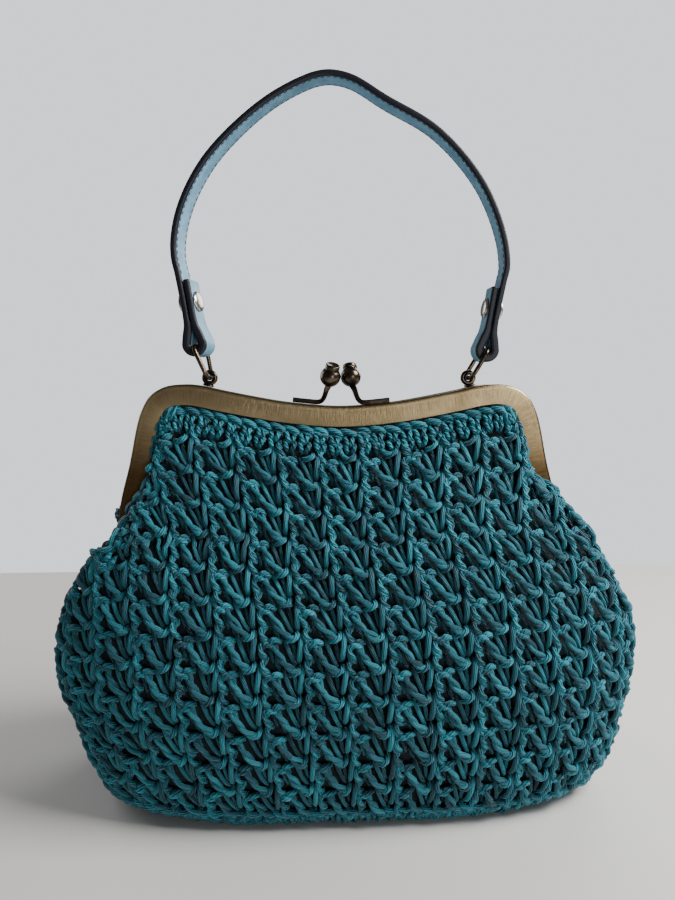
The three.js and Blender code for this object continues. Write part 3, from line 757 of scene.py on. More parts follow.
edging_count = int(round(edging_route(arc_ends)[2][-1] / EDGING_STITCH))


def scattered(mesh, owner, copies):
    """Gives each strand of a repeated motif its own shade, and its vertices' places shifted."""
    island, islands = strand_numbers(owner, copies)
    flat = coordinates(mesh)
    # How far out each vertex lies, which the yarn turns into painted shade between strands.
    write_floats(mesh, "painted_shade", how_far_out(flat))
    write_floats(mesh, "tone", np.clip(rng.normal(*EDGING_TONES, islands), *EDGING_TONE_RANGE)[island])
    return flat + rng.normal(0, JITTER, (islands, 3))[island]


def panel_edging(name, turned):
    """The edging of one panel, from fold to fold."""
    count = 2 * edging_count
    sheet = repeated(edging_mesh, (count,), ((EDGING_STITCH, 0, 0),))
    flat = scattered(sheet, edging_owner, count)
    share = (flat[:, 0] + EDGING_STITCH / 2) / (edging_count * EDGING_STITCH) - 1
    side = np.where(share < 0, -1, 1) * turned
    bare = (side < 0) & (turned > 0)
    inwards = EDGING_HEIGHT - flat[:, 2] + EDGING_IN
    inwards *= 1 - EDGING_NARROWER * blend(np.abs(share), *NARROWED)
    arc, height = np.zeros(len(flat)), np.zeros(len(flat))
    for ends, chosen in ((arc_ends, ~bare), (bare_ends, bare)):
        line, into, lengths = edging_route(ends)
        along = np.abs(share[chosen]) * lengths[-1]
        for values, axis in ((arc, 0), (height, 1)):
            values[chosen] = (np.interp(along, lengths, line[:, axis])
                              + inwards[chosen] * np.interp(along, lengths, into[:, axis]))
    side = side * np.where(arc < 0, -1, 1)
    places = on_surface(np.abs(arc), height, -flat[:, 1], side, turned)
    out = GROUND_DEPTH - flat[:, 1]
    over_leg = bare & (height < COVER_END)
    face = np.where(over_leg, BARE_FACE, EDGE_FACE) + out
    starts = np.where(bare, BARE_FROM, ROLL_FROM)
    rolled = (1 - blend(inwards, 0, ROLLED)) * np.clip((height - starts) / ROLL_RISE, 0, 1)
    depth_there = -places[:, 1] * turned
    places[:, 1] = -turned * (depth_there + (np.minimum(face, depth_there) - depth_there) * rolled)
    return finished(name, moved(sheet, places), yarn.material, "woven_body")


for edging_name, turned in (("edging_front", 1), ("edging_back", -1)):
    panel_edging(edging_name, turned)

# The base is an oval of plain rounds of the same yarn, worked flat, that the sides grow from.
# Its rim, where they turn up, is one close round.
BASE_HALF_WIDTH = 112
BASE_HALF_DEPTH = 48
RIM_HEIGHT = 9.5
RIM_LOWEST = 0.8
RIM_STITCHES = 3 * ROUND
BASE_ROUND_STEP = 6.8
BASE_ROUNDS = 6
BASE_RIM_WIDTH = 0.4
BASE_STITCH = 9.0
BASE_THICKNESS = 3.9
BASE_LOWEST = 0.3
SQUARE_GIRTH = 60
BASE_STRANDS = [
    ("left_arm", THICK, 0, [(-0.48, 0.90, 0.6), (-0.30, 0.62, 1.4), (-0.06, 0.20, 1.4), (0.0, 0.0, 0.4)]),
    ("right_arm", THICK, 0, [(0.48, 0.90, 0.6), (0.30, 0.62, 1.4), (0.06, 0.20, 1.4), (0.0, 0.0, 0.4)]),
]


def base_rim(name):
    """The close round where the sides turn into the base."""
    sheet = repeated(edging_mesh, (RIM_STITCHES,), ((EDGING_STITCH, 0, 0),))
    flat = scattered(sheet, edging_owner, RIM_STITCHES)
    places = on_body(flat[:, 0] * ROUND / (RIM_STITCHES * EDGING_STITCH),
                     RIM_LOWEST + flat[:, 2] * RIM_HEIGHT / EDGING_HEIGHT, -flat[:, 1])[0]
    places[:, 2] = np.maximum(places[:, 2], BASE_LOWEST)
    return finished(name, moved(sheet, places), yarn.material, "woven_body")


def base_round(index):
    """One plain round of the base, nearer the middle with each index."""
    inset = (index + BASE_RIM_WIDTH) * BASE_ROUND_STEP
    girth = math.pi * (BASE_HALF_WIDTH + BASE_HALF_DEPTH - 2 * inset) + SQUARE_GIRTH
    count = int(girth / BASE_STITCH)
    sheet = repeated(base_motif, (count,), ((BASE_STITCH, 0, 0),))
    flat = scattered(sheet, base_owner, count)
    on_rim = np.zeros(len(flat))
    rim = on_body(flat[:, 0] * ROUND / (count * BASE_STITCH), on_rim, on_rim)[0]
    inwards = inset + BASE_ROUND_STEP - flat[:, 2]
    rim[:, 0] *= 1 - inwards / BASE_HALF_WIDTH
    rim[:, 1] *= np.maximum(1 - inwards / BASE_HALF_DEPTH, 0)
    rim[:, 2] = np.maximum(BASE_THICKNESS + flat[:, 1], BASE_LOWEST)
    return moved(sheet, rim)


base_motif, base_owner = motif(BASE_STRANDS, BASE_STITCH, BASE_ROUND_STEP, 0)
base_rim("base_rim")
base_work = opened(*[base_round(index) for index in range(BASE_ROUNDS)])
bmesh.ops.reverse_faces(base_work, faces=base_work.faces)
base_mesh = written(base_work, "base_rounds")
finished("base_rounds", base_mesh, yarn.material, "woven_body")

# Behind the stitches lies the ground of the fabric, standing for the strands of the inner side:
# a near-black sheet whose colour is painted shade, seen as darkness through the holes. It goes
# up into the frame's channel and under the base.
GROUND_ACROSS = 120
GROUND_TALL = 84
GROUND_INSET = 2.9
GROUND_LOWEST = 3.8
GROUND_IN_CHANNEL = 5.6
GROUND_OVER_LEG = BARE_FACE + 0.2
FRAME_SPREAD = 100
GROUND_ABOVE = 2.5
GROUND_OUT = 2.5
GROUND_OUT_FROM = 3
GROUND_RIM = 4.5
GROUND_ROLL = 8
GROUND_MERGE = 0.2 * MM
ground_painted_shade = Nodes("ground_painted_shade")
ground_noise = ground_painted_shade.noise(420.0)
# Near-black painted shade, as seen through the holes between the stitches.
ground_shade_colour = ground_painted_shade.ramp(ground_noise, [(0.3, (0.001, 0.004, 0.006)), (0.7, (0.004, 0.018, 0.024))])
ground_painted_shade.set(Base_Color=ground_shade_colour, Roughness=0.9)
ground_painted_shade.bump(ground_noise, 0.8, 0.001)


def ground_half(work, turned):
    """One panel of the ground, from fold to fold, as a grid bent onto the body."""
    sheet = bmesh.ops.create_grid(work, x_segments=GROUND_ACROSS, y_segments=GROUND_TALL, size=0.5)["verts"]
    spots = np.array([v.co for v in sheet])
    share = spots[:, 0] * 2
    top = band_bottom(share * FRAME_SPREAD) + GROUND_ABOVE
    height = GROUND_LOWEST + (spots[:, 1] + 0.5) * (top - GROUND_LOWEST)
    side = np.where(share < 0, -1, 1)
    end = room_at(height, side, np.full(len(side), turned))
    arc = np.abs(share) * end
    places = on_surface(arc, height, np.full(len(arc), -GROUND_INSET), side, turned)
    near_edge = blend(height, COVER_TOP, COVER_END)
    over_leg = (side < 0) & (turned > 0) & (height < COVER_END)
    from_edge = np.minimum(end - arc, top - height)
    sunk = np.where(over_leg, blend(height, BARE_FROM, BARE_FROM + GROUND_ROLL), near_edge)
    sunk = sunk * (1 - blend(from_edge, 0, ROLLED))
    depth_there = -places[:, 1] * turned
    edge_depth = np.where(over_leg, GROUND_OVER_LEG, GROUND_IN_CHANNEL)
    places[:, 1] = -turned * (depth_there + (edge_depth - depth_there) * sunk)
    places[:, 0] += side * GROUND_OUT * (1 - blend(end - arc, 0, GROUND_OUT_FROM)) * near_edge
    for vert, place in zip(sheet, places):
        vert.co = Vector(place) * MM


ground_work = bmesh.new()
for turned in (1, -1):
    ground_half(ground_work, turned)
bmesh.ops.remove_doubles(ground_work, verts=ground_work.verts, dist=GROUND_MERGE)
ground_floor = [e for e in ground_work.edges
                if e.is_boundary and all(v.co.z < GROUND_RIM * MM for v in e.verts)]
bmesh.ops.edgeloop_fill(ground_work, edges=ground_floor)
bmesh.ops.recalc_face_normals(ground_work, faces=ground_work.faces)
ground_mesh = written(ground_work, "ground")
finished("ground", ground_mesh, ground_painted_shade.material, "woven_body", sharp=50)

# The frame's two halves are strips of sheet brass, folded lengthwise round the edge of the
# crochet and bent along the frame's line. At the end of each leg an ear is soldered on. The
# brass is brushed along the band. Along its rounded fold runs a painted dark reflection line
# beside a lighter painted strip, and the legs are darkened by painted shade towards the bottom.
SHEET = 1.0
HALF_DEPTH = 8.5
HALF_MIDDLE = 4.25
HALF_GAP = 0.15
LEG_START = HINGE_HEIGHT + 8
BAND_SECTION = [
    (0, HALF_GAP, 0.1), (0, HALF_DEPTH, 1.5), (FRAME_FACE, HALF_DEPTH, 0.45), (FRAME_FACE, 7.5, 0.45),
    (1, 7.5, 0.4), (1, 3.8, 0.3), (8, 3.8, 0.2), (8, 3, 0.2), (1, 3, 0.3), (1, HALF_GAP, 0.1),
]
EAR_RADIUS = 5.5
EAR_OUTER = FRAME_HALF_WIDTH - 1.4
EAR_GAP = 0.3
EAR_TABS = {-1: LEG_START + 8, 1: LEG_START + 12}
TAB_DEPTH = 6.5


def rounded(corners, steps=4):
    """A closed outline from its corners and their radii, with each corner turned to an arc."""
    places = np.array([corner[:2] for corner in corners], float)
    points = []
    for before, here, after, corner in zip(np.roll(places, 1, 0), places, np.roll(places, -1, 0), corners):
        back = (before - here) / np.linalg.norm(before - here)
        on = (after - here) / np.linalg.norm(after - here)
        half_angle = math.acos(np.clip(back @ on, -1, 1)) / 2
        centre = here + (back + on) / np.linalg.norm(back + on) * corner[2] / math.sin(half_angle)
        reach = corner[2] / math.tan(half_angle)
        for share in np.linspace(0, 1, steps + 1):
            spoke = (here + back * reach - centre) * (1 - share) + (here + on * reach - centre) * share
            points.append(centre + spoke / np.linalg.norm(spoke) * corner[2])
    return np.array(points)


def skinned(rings, round_values=None):
    """A solid skinned over closed rings of points, with its UV map in millimetres."""
    rings = np.asarray(rings, float)
    stations, around = rings.shape[:2]
    if round_values is None:
        gaps = np.linalg.norm(np.diff(rings[0], axis=0), axis=1)
        round_values = np.concatenate([[0], np.cumsum(gaps), [np.sum(gaps) + gaps[-1]]])
    along_values = lengths_along(rings.mean(axis=1))
    work = bmesh.new()
    uv_layer = work.loops.layers.uv.new("UVMap")
    bmesh.ops.create_grid(work, x_segments=around, y_segments=stations - 1, size=0.5)
    for face in work.faces:
        for corner in face.loops:
            i, j = divmod(corner.vert.index, around + 1)
            corner[uv_layer].uv = (round_values[j], along_values[i])
    for vert in work.verts:
        i, j = divmod(vert.index, around + 1)
        vert.co = Vector(rings[i, j % around])
    bmesh.ops.remove_doubles(work, verts=work.verts, dist=MERGE)
    bmesh.ops.holes_fill(work, edges=work.edges, sides=0)
    bmesh.ops.recalc_face_normals(work, faces=work.faces)
    return written(work, "skinned")


def lathed(profile, origin, axis, sides=40):
    """A round solid whose profile gives radii and distances along an axis."""
    turn = Vector(axis).to_track_quat("Z", "Y").to_matrix()
    across, up, on = (np.array(turn.col[i]) for i in range(3))
    angles = np.linspace(0, 2 * math.pi, sides, endpoint=False)[:, None]
    spokes = np.cos(angles) * across + np.sin(angles) * up
    return skinned([np.array(origin) + spokes * radius + on * distance for radius, distance in profile])


def joined(name, *meshes):
    """Several meshes in millimetres as one mesh in metres."""
    work = opened(*meshes)
    bmesh.ops.scale(work, vec=(MM, MM, MM), verts=work.verts)
    return written(work, name)


def softened_edges(mesh, offset, angle=40):
    """Bevels the sharp edges of a mesh."""
    work = opened(mesh)
    sharp = [e for e in work.edges if len(e.link_faces) == 2 and e.calc_face_angle() > math.radians(angle)]
    bmesh.ops.bevel(work, geom=sharp, offset=offset, offset_type="OFFSET", segments=2, profile=0.5,
                    affect="EDGES", material=-1, clamp_overlap=True)
    return written(work, mesh)


brass = Nodes("frame_brass")
brass_uv = brass.add("UVMap")
brushing = brass.add("TexNoise", Vector=brass.add("Mapping", Vector=brass_uv, Scale=(0.12, 5.0, 1.0)),
                     Scale=1.0, Detail=3.0)
worn = brass.math("ADD", brass.math("MULTIPLY", brushing, 0.6),
                  brass.math("MULTIPLY", brass.noise(55.0, 4.0), 0.4))
# Painted reflection: a dark line along the band's rounded fold, with a lighter strip beside it.
fold_painted_reflection = brass.ramp(brass.math("MULTIPLY", brass.split(brass_uv)[0], 0.05), [
    (0.29, 0.80), (0.33, 0.18), (0.385, 0.18), (0.42, 1), (0.49, 1), (0.53, 0.84)])
# Painted shade: the brass darkens towards the bottom of the legs.
painted_leg_shade = brass.ramp(brass.math("MULTIPLY", brass.split(brass.place())[2], 5.0), [
    (0.83, (0.25, 0.20, 0.155)), (0.985, 1)])
brass_colour = brass.ramp(worn, [(0.34, (0.24, 0.172, 0.083)), (0.62, (0.46, 0.350, 0.195))])
brass_colour = brass.blended("MULTIPLY", 1.0, brass_colour, painted_leg_shade)
brass.set(Base_Color=brass.blended("MULTIPLY", 1.0, brass_colour, fold_painted_reflection), Metallic=1.0,
          Anisotropic=0.65, Roughness=brass.ramp(worn, [(0.3, 0.46), (0.7, 0.34)]),
          Tangent=brass.add("Tangent", {"direction_type": "UV_MAP"}))
brass.bump(brushing, 0.35, 0.0002)


def ear_slab(side, half):
    """A disc on the hinge line with a tab up into one leg."""
    tab = EAR_TABS[half]
    outer = EAR_OUTER if half < 0 else EAR_OUTER - SHEET - EAR_GAP
    outline = [(HALF_GAP, tab)]
    outline += [(EAR_RADIUS * math.cos(t), HINGE_HEIGHT + EAR_RADIUS * math.sin(t))
                for t in np.radians(np.arange(90, 361, 10))]
    outline += [(TAB_DEPTH, HINGE_HEIGHT + 0.2), (TAB_DEPTH, tab)]
    rings = [[(side * x - FRAME_SET_LEFT, half * y, z) for y, z in outline] for x in (outer - SHEET, outer)]
    return softened_edges(skinned(rings), 0.2)


def frame_half(name, half, node):
    """One half of the frame: the folded band and its two ears."""
    section = rounded(BAND_SECTION)
    stations = [(place, inwards) for place, inwards in zip(frame_edge[::2], frame_inwards[::2])
                if place[1] > LEG_START]
    rings = [[(place[0] - FRAME_SET_LEFT + inwards[0] * x, half * y, place[1] + inwards[1] * x)
              for x, y in section] for place, inwards in stations]
    mesh = joined(name, skinned(rings), ear_slab(-1, half), ear_slab(1, half))
    finished(name, mesh, brass.material, node, sharp=38)


frame_half("frame_front_band", -1, "frame_front")
frame_half("frame_back_band", 1, "frame_back")

# The clasp, ring posts, links and hinge pins are cast or bent in dark antique bronze, which is
# lighter where hands have polished it.
bronze = Nodes("bronze")
bronze_noise = bronze.noise(260.0, 4.0)
bronze_colour = bronze.ramp(bronze_noise, [(0.30, (0.020, 0.015, 0.011)), (0.70, (0.125, 0.098, 0.070))])
bronze_roughness = bronze.ramp(bronze_noise, [(0.3, 0.34), (0.7, 0.20)])
bronze.set(Base_Color=bronze_colour, Metallic=1.0, Roughness=bronze_roughness)
bronze.bump(bronze_noise, 0.04, 0.0002)


def top_at(x):
    """The height of the frame's top edge at a place across, from the frame's middle."""
    top = frame_edge[frame_edge[:, 1] > HINGE_HEIGHT + FRAME_RISE / 2]
    return float(np.interp(x, top[:, 0], top[:, 1]))


# Each hinge is a rivet with a low head at both ends, through the ears of the two halves.
PIN_PROFILE = [(0.1, -1.05), (1.5, -1.0), (2.6, -0.75), (3.1, -0.3), (3.2, 0), (1.6, 0.02)]
for side, side_name in ((-1, "left"), (1, "right")):
    pin_outer = EAR_OUTER + EAR_GAP
    pin_inner = EAR_OUTER - 2 * (SHEET + EAR_GAP)
    pin_half = [(r, pin_inner + along) for r, along in PIN_PROFILE]
    pin_rest = [(r, pin_outer - along) for r, along in PIN_PROFILE[::-1]]
    pin = lathed(pin_half + pin_rest, (-FRAME_SET_LEFT, 0, HINGE_HEIGHT), (side, 0, 0), 28)
    finished("hinge_rivet_" + side_name, joined("pin", pin), bronze.material,
                     "hinge_pin_" + side_name, sharp=50)

# The kiss lock: on each half of the frame a bar that is soldered along its top and bends up
# into a stem, which carries a ball with a flat button. The balls snap past each other.
CLASP_BAR = 2.5
CLASP_BAR_WIDTH = 4.6
CLASP_SEAT = 0.3
CLASP_FLARE = 0.3
CLASP_STATIONS = 60
CLASP_FLARED = 40
BALL_RADIUS = 5.4
BALL_RISE = 15.5
BALL_SPREAD = 5.5
BALL_CROSS = 2.2
NECK_RADIUS = 3.5
CLASP_PATH = [
    (25.3, 0.0), (21.5, 0.0), (17.0, 0.0), (12.6, 0.0), (10.6, 0.03), (9.2, 0.13), (8.2, 0.30), (7.3, 0.52),
    (5.7, 0.74),
]
KNOB_NECK = [
    (3.45, 4.3), (3.45, 4.55), (3.7, 4.75), (3.8, 5.1), (3.8, 6.3), (3.65, 6.75), (3.3, 6.95), (3.0, 6.9),
    (2.8, 6.7), (0.1, 6.65),
]


def rounded_bar(half_thick, half_wide, radius, steps=4):
    """The section of a flat bar with rounded corners."""
    corners = ((-1, -1), (1, -1), (1, 1), (-1, 1))
    return rounded([(x * half_thick, y * half_wide, radius) for x, y in corners], steps)


def clasp_half(name, side, half, tilt):
    """A bar along the frame's top that bends up into a stem, and a ball with a flat button."""
    seat = CLASP_SEAT + CLASP_BAR / 2
    ball = np.array([side * BALL_SPREAD - FRAME_SET_LEFT, -half * BALL_CROSS, top_at(0) + BALL_RISE])
    bar_y = half * HALF_MIDDLE
    points = [(side * across - FRAME_SET_LEFT, bar_y + (ball[1] - bar_y) * share / CLASP_PATH[-1][1],
               top_at(side * across) + seat + (BALL_RISE - seat) * share) for across, share in CLASP_PATH]
    path = smooth_path(points, CLASP_STATIONS)
    normals = right_of(path[:, [0, 2]])
    section = rounded_bar(CLASP_BAR / 2, CLASP_BAR_WIDTH / 2, 0.5)
    flare = CLASP_FLARE * blend(np.arange(CLASP_STATIONS), CLASP_FLARED, CLASP_STATIONS - 1)
    rings = [[(p[0] + n[0] * x * (1 + f), p[1] + y * (1 - f), p[2] + n[1] * x * (1 + f)) for x, y in section]
             for p, n, f in zip(path, normals, flare)]
    arm = softened_edges(skinned(rings), 0.25, 60)
    swing = np.linspace(-math.pi / 2 + 0.03, math.acos(NECK_RADIUS / BALL_RADIUS), 22)
    profile = [(BALL_RADIUS * math.cos(a), BALL_RADIUS * math.sin(a)) for a in swing] + KNOB_NECK
    clasp_mesh = joined(name, arm, lathed(profile, ball, tilt, 48))
    finished(name, clasp_mesh, bronze.material, name.replace("_lock", ""), sharp=45)


clasp_half("clasp_lock_back", -1, 1, (0.2, -0.4, 0.9))
clasp_half("clasp_lock_front", 1, -1, (-0.05, 0.4, 0.9))

# On top of the frame's back half stand two rings on round feet, soldered on. A long wire link
# hangs each end of the handle from its ring.
POST_SPREAD = 70
POST_RING = 2.9
POST_FOOT = [(0.1, 0.3), (2.8, 0.3), (3.0, 0.5), (3.0, 1.0), (2.7, 1.35), (1.7, 1.6), (0.1, 1.7)]
POST_WIRE = 1.3
RING_UP = 4.85
HANDLE_ENDS = {-1: (-5.4, 17.2, -9), 1: (8.6, 14.6, 9)}
HANDLE_TURN = {-1: 0.26, 1: 0.0}
LINK_LENGTH = 17
LINK_CORNER = 3.6
LINK_WIRE = 1.2
LINK_ROOM = 2.2
STRAP_THICKNESS = 3.2
STRAP_WIDTH = 12.6


def post_place(side):
    """The seat of a ring post, its tilt and the middle of its ring."""
    x = side * POST_SPREAD
    tilt = math.atan((top_at(x + 3) - top_at(x - 3)) / 6)
    seat = np.array([x - FRAME_SET_LEFT, top_at(x)])
    return seat, tilt, seat + RING_UP * np.array([-math.sin(tilt), math.cos(tilt)])


def handle_end(side):
    """The middle of the folded loop at one end of the handle, and the directions inwards and up."""
    across, rise, lean = HANDLE_ENDS[side]
    up = np.array([math.sin(math.radians(lean)), math.cos(math.radians(lean))])
    return post_place(side)[2] + (across, rise), np.array([-side * up[1], side * up[0]]), up


for side, side_name in ((-1, "left"), (1, "right")):
    seat, tilt, ring = post_place(side)
    hoop = [(ring[0] + POST_RING * math.cos(t), HALF_MIDDLE, ring[1] + POST_RING * math.sin(t))
            for t in np.radians(np.arange(0, 360, 30))]
    hoop_mesh = strand(hoop, POST_WIRE, closed=True, steps=3, sides=4)
    foot = lathed(POST_FOOT, (seat[0], HALF_MIDDLE, seat[1]), (-math.sin(tilt), 0, math.cos(tilt)), 32)
    finished("ring_stand_" + side_name, joined("post", hoop_mesh, foot), bronze.material,
                     "ring_post_" + side_name, sharp=60)
    middle = handle_end(side)[0]
    along = (middle - ring) / np.linalg.norm(middle - ring)
    reach = np.array([LINK_LENGTH / 2, STRAP_WIDTH / 2 + LINK_ROOM]) - LINK_CORNER
    wire = []
    for quarter in range(4):
        corner = reach * ((1, 1), (-1, 1), (-1, -1), (1, -1))[quarter]
        for t in np.radians(90 * quarter + np.arange(0, 91, 22.5)):
            far, wide = corner + LINK_CORNER * np.array([math.cos(t), math.sin(t)])
            spot = ring + along * (LINK_LENGTH / 2 + far)
            turned = HANDLE_TURN[side] * wide * (0.5 + far / LINK_LENGTH)
            wire.append((spot[0] + turned, HALF_MIDDLE + wide, spot[1]))
    link = strand(wire, LINK_WIRE, closed=True, steps=3, sides=4)
    finished("wire_link_" + side_name, joined("link", link), bronze.material,
                     "link_" + side_name)

# The handle is one strap of two layers of light blue leather with dark painted edges, sewn
# along both sides. Each end is folded inwards round a link and held by a rivet.
# The left end is turned a little, with its front edge outwards. HANDLE_BENDS are the places
# that it passes, as shares of its half span and its rise.
HANDLE_RISE = 156.4
HANDLE_HALF_SPAN = 87
HANDLE_BENDS = [
    (-0.965, 0.141), (-0.925, 0.341), (-0.776, 0.583), (-0.500, 0.820), (-0.275, 0.944), (-0.090, 1.000),
    (0.060, 0.982), (0.260, 0.888), (0.570, 0.742), (0.840, 0.494), (0.978, 0.226), (1.000, 0.060),
]
TAB_LENGTH = 33
LAYER = (STRAP_THICKNESS + 0.3) / 2
LOOP_RADIUS = STRAP_THICKNESS + 1.6
STRAP_ROUNDING = 1.1
PAINTED_FROM = 5.35
FOLD_FILL = 1.25
FOLD_BLEND = (17.5, 27)
TURN_KEPT = 30
TURN_GONE = 0.58
ARCH_POINTS = 47
STRAP_STATIONS = 440


def folded_end(side):
    """The route of the strap from its tab's tip round the link and up again."""
    tab = [(LAYER, TAB_LENGTH * share) for share in (1, 0.7, 0.45)]
    neck = [(LAYER + 0.5, LOOP_RADIUS + 4.5), (LAYER + 1.6, LOOP_RADIUS + 1)]
    loop = [(LOOP_RADIUS * math.cos(t), LOOP_RADIUS * math.sin(t))
            for t in np.radians(np.arange(25, -206, -23))]
    outer = [(-v, u) for v, u in neck[::-1] + tab[::-1]]
    middle, inward, up = handle_end(side)
    return [middle + inward * v + up * u for v, u in tab + neck + loop + outer]


strap_left = folded_end(-1)
strap_right = folded_end(1)[::-1]
strap_bottom = max((handle_end(side)[0] + handle_end(side)[2] * TAB_LENGTH)[1] for side in (-1, 1))
strap_rise = FRAME_TOP + HANDLE_RISE - STRAP_THICKNESS / 2 - strap_bottom
strap_bends = [(x * HANDLE_HALF_SPAN - FRAME_SET_LEFT, strap_bottom + z * strap_rise)
               for x, z in HANDLE_BENDS]
strap_arch = smooth_path(strap_left[-2:] + strap_bends + strap_right[:2], ARCH_POINTS)
strap_route = smooth_path(strap_left[:-2] + list(strap_arch[2:-2]) + strap_right[2:], STRAP_STATIONS)
strap_normals = right_of(strap_route)
strap_arcs = lengths_along(strap_route)
strap_length = strap_arcs[-1]
arch_from = lengths_along(strap_left)[-1]
arch_to = strap_length - arch_from
strap_turn = HANDLE_TURN[-1] * (1 - blend(strap_arcs, arch_from + TURN_KEPT, strap_length * TURN_GONE))
from_end = np.minimum(strap_arcs, strap_length - strap_arcs)
strap_fill = FOLD_FILL * blend(from_end, *FOLD_BLEND) * blend(arch_from - from_end, *FOLD_BLEND)
half_thick, half_wide = STRAP_THICKNESS / 2, STRAP_WIDTH / 2


def on_strap(along, off, across):
    """Points of the strap from their length along it, how far they are to its inner side and
    how far back from its middle. Where it is folded round a link its inner side is padded."""
    x, z, nx, nz, turn, fill = (np.interp(along, strap_arcs, values) for values in (
        *strap_route.T, *strap_normals.T, strap_turn, strap_fill))
    off = np.where(off > 0, off * (1 + fill / half_thick), off)
    return np.stack([x + nx * off + turn * across, HALF_MIDDLE + across, z + nz * off], axis=-1)


leather = Nodes("leather")
grain = leather.add("TexVoronoi", Vector=leather.place(), Scale=1400.0)
from_middle = leather.math("ABSOLUTE", leather.split(leather.add("UVMap"))[0])
ragged = leather.math("MULTIPLY", leather.noise(900.0), 0.5)
painted = leather.math("GREATER_THAN", leather.math("ADD", from_middle, ragged), PAINTED_FROM)
blue = leather.ramp(leather.noise(160.0, 5.0), [(0.3, (0.085, 0.20, 0.29)), (0.7, (0.15, 0.31, 0.42))])
leather.set(Base_Color=leather.blended("MIX", painted, blue, (0.003, 0.004, 0.009, 1)), Roughness=0.46,
            Specular_IOR_Level=0.3)
leather.bump(grain, 0.25, 0.00015)

strap_section = rounded_bar(half_thick, half_wide, STRAP_ROUNDING, 5)
strap_rings = [on_strap(along, strap_section[:, 0], strap_section[:, 1]) for along in strap_arcs]
strap_mesh = skinned(strap_rings, np.append(strap_section[:, 1], strap_section[0, 1]))
finished("strap_leather", joined("strap", softened_edges(strap_mesh, 0.5, 60)), leather.material,
                 "handle_strap", sharp=60)

# Its seams are saddle stitches of dark blue waxed thread, two rows on each face, which start
# and end above the folded ends.
SEAM_PITCH = 3.4
SEAM_IN = 4.55
SEAM_CLEAR = 3
thread = Nodes("thread")
thread_noise = thread.noise(2500.0)
thread_colour = thread.ramp(thread_noise, [(0.3, (0.008, 0.016, 0.030)), (0.7, (0.025, 0.045, 0.075))])
thread.set(Base_Color=thread_colour, Roughness=0.55)
SEAM_STITCH = [(0, 0, -0.6), (0.5, 0, -0.1), (1.25, 0, -0.03), (2.0, 0, -0.1), (2.5, 0, -0.6)]
THREAD = 0.36
seam_motif = strand(SEAM_STITCH, THREAD, steps=1)


def seam(off_side, across):
    """A row of stitches along the strap, on its inner (1) or outer (-1) side."""
    start = arch_from + SEAM_CLEAR
    count = int((arch_to - SEAM_CLEAR - start) / SEAM_PITCH)
    row = repeated(seam_motif, (count,), ((SEAM_PITCH, 0, 0),))
    flat = coordinates(row)
    places = on_strap(start + flat[:, 0], off_side * (half_thick + flat[:, 2]), across + flat[:, 1])
    return moved(row, places, 1)


seam_work = opened(joined("seams", *[seam(off_side, across * SEAM_IN)
                                     for across in (-1, 1) for off_side in (-1, 1)]))
bmesh.ops.recalc_face_normals(seam_work, faces=seam_work.faces)
seam_mesh = written(seam_work, "seams")
finished("strap_stitching", seam_mesh, thread.material, "handle_strap")

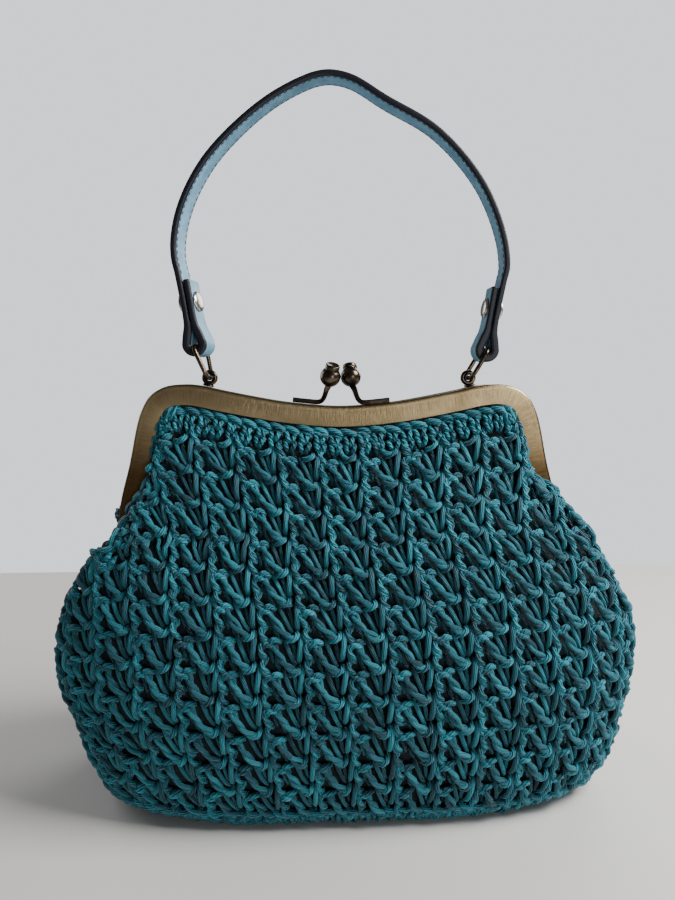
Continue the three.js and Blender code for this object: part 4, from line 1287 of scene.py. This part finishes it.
# A worn nickel rivet holds each folded end. Its post goes through both layers of the leather,
# and it has a domed cap on each face.
RIVET_UP = 22
RIVET_FACE = STRAP_THICKNESS + 0.45
RIVET_CAP = [
    (1.5, 0.0), (1.5, -0.05), (5.0, -0.02), (5.2, 0.15), (5.15, 0.45), (4.7, 0.95), (3.9, 1.35), (2.6, 1.62),
    (1.2, 1.7), (0.1, 1.72),
]
nickel = Nodes("rivet_metal")
nickel_colour = nickel.ramp(nickel.noise(420.0, 4.0), [(0.3, (0.34, 0.30, 0.25)), (0.7, (0.66, 0.62, 0.56))])
nickel.set(Base_Color=nickel_colour, Metallic=1.0, Roughness=0.27)
for side, side_name in ((-1, "left"), (1, "right")):
    middle, inward, up = handle_end(side)
    place = middle + up * RIVET_UP
    profile = [(r, -RIVET_FACE - along) for r, along in RIVET_CAP[::-1]]
    profile += [(r, RIVET_FACE + along) for r, along in RIVET_CAP]
    rivet = lathed(profile, (place[0], HALF_MIDDLE, place[1]), (inward[0], 0, inward[1]), 40)
    for vert in rivet.vertices:
        vert.co.x += HANDLE_TURN[side] * (vert.co.y - HALF_MIDDLE)
    finished("rivet_" + side_name, joined("rivet", rivet), nickel.material,
                     "handle_rivet_" + side_name, sharp=50)

# A plain pale floor that ends a little behind the bag, with a bright backdrop, and soft
# light from four panels: the main one to the right and above, one in front and two behind.
FLOOR_BACK = 0.375
FLOOR_HALF = 1.6
WORLD_LIGHT = 0.13
BACKDROP_BRIGHTNESS = 1.5
floor_work = bmesh.new()
bmesh.ops.create_grid(floor_work, x_segments=1, y_segments=1, size=FLOOR_HALF)
bmesh.ops.translate(floor_work, verts=floor_work.verts, vec=(0, FLOOR_BACK - FLOOR_HALF, 0))
floor = in_scene("floor", written(floor_work, "floor"))
floor_look = Nodes("floor")
floor_look.set(Base_Color=(0.62, 0.60, 0.58, 1), Roughness=0.7)
floor.data.materials.append(floor_look.material)
world = bpy.data.worlds.new("studio")
world.use_nodes = True
sky = world.node_tree.nodes["Background"].inputs
sky["Color"].default_value = (0.80, 0.82, 0.86, 1)
in_view = world.node_tree.nodes.new("ShaderNodeLightPath").outputs["Is Camera Ray"]
brightness = world.node_tree.nodes.new("ShaderNodeMapRange")
brightness.inputs["To Min"].default_value = WORLD_LIGHT
brightness.inputs["To Max"].default_value = BACKDROP_BRIGHTNESS
world.node_tree.links.new(in_view, brightness.inputs["Value"])
world.node_tree.links.new(brightness.outputs["Result"], sky["Strength"])
bpy.context.scene.world = world


def panel_light(name, place, target, size, power):
    """A square soft light at a place that shines at a target."""
    data = bpy.data.lights.new(name, "AREA")
    data.size = size
    data.energy = power
    light = in_scene(name, data)
    light.location = place
    light.rotation_euler = (Vector(target) - Vector(place)).to_track_quat("-Z", "Y").to_euler()


panel_light("key", (0.60, -0.17, 0.70), (0, 0, 0.14), 0.40, 15)
panel_light("fill", (0.52, -1.15, 0.22), (0.10, 0, 0.18), 0.36, 4.4)
panel_light("rim", (0.6, 0.85, 0.65), (0, 0, 0.15), 0.7, 7)
panel_light("left", (-0.85, 0.55, 0.45), (0, 0, 0.12), 0.7, 5)
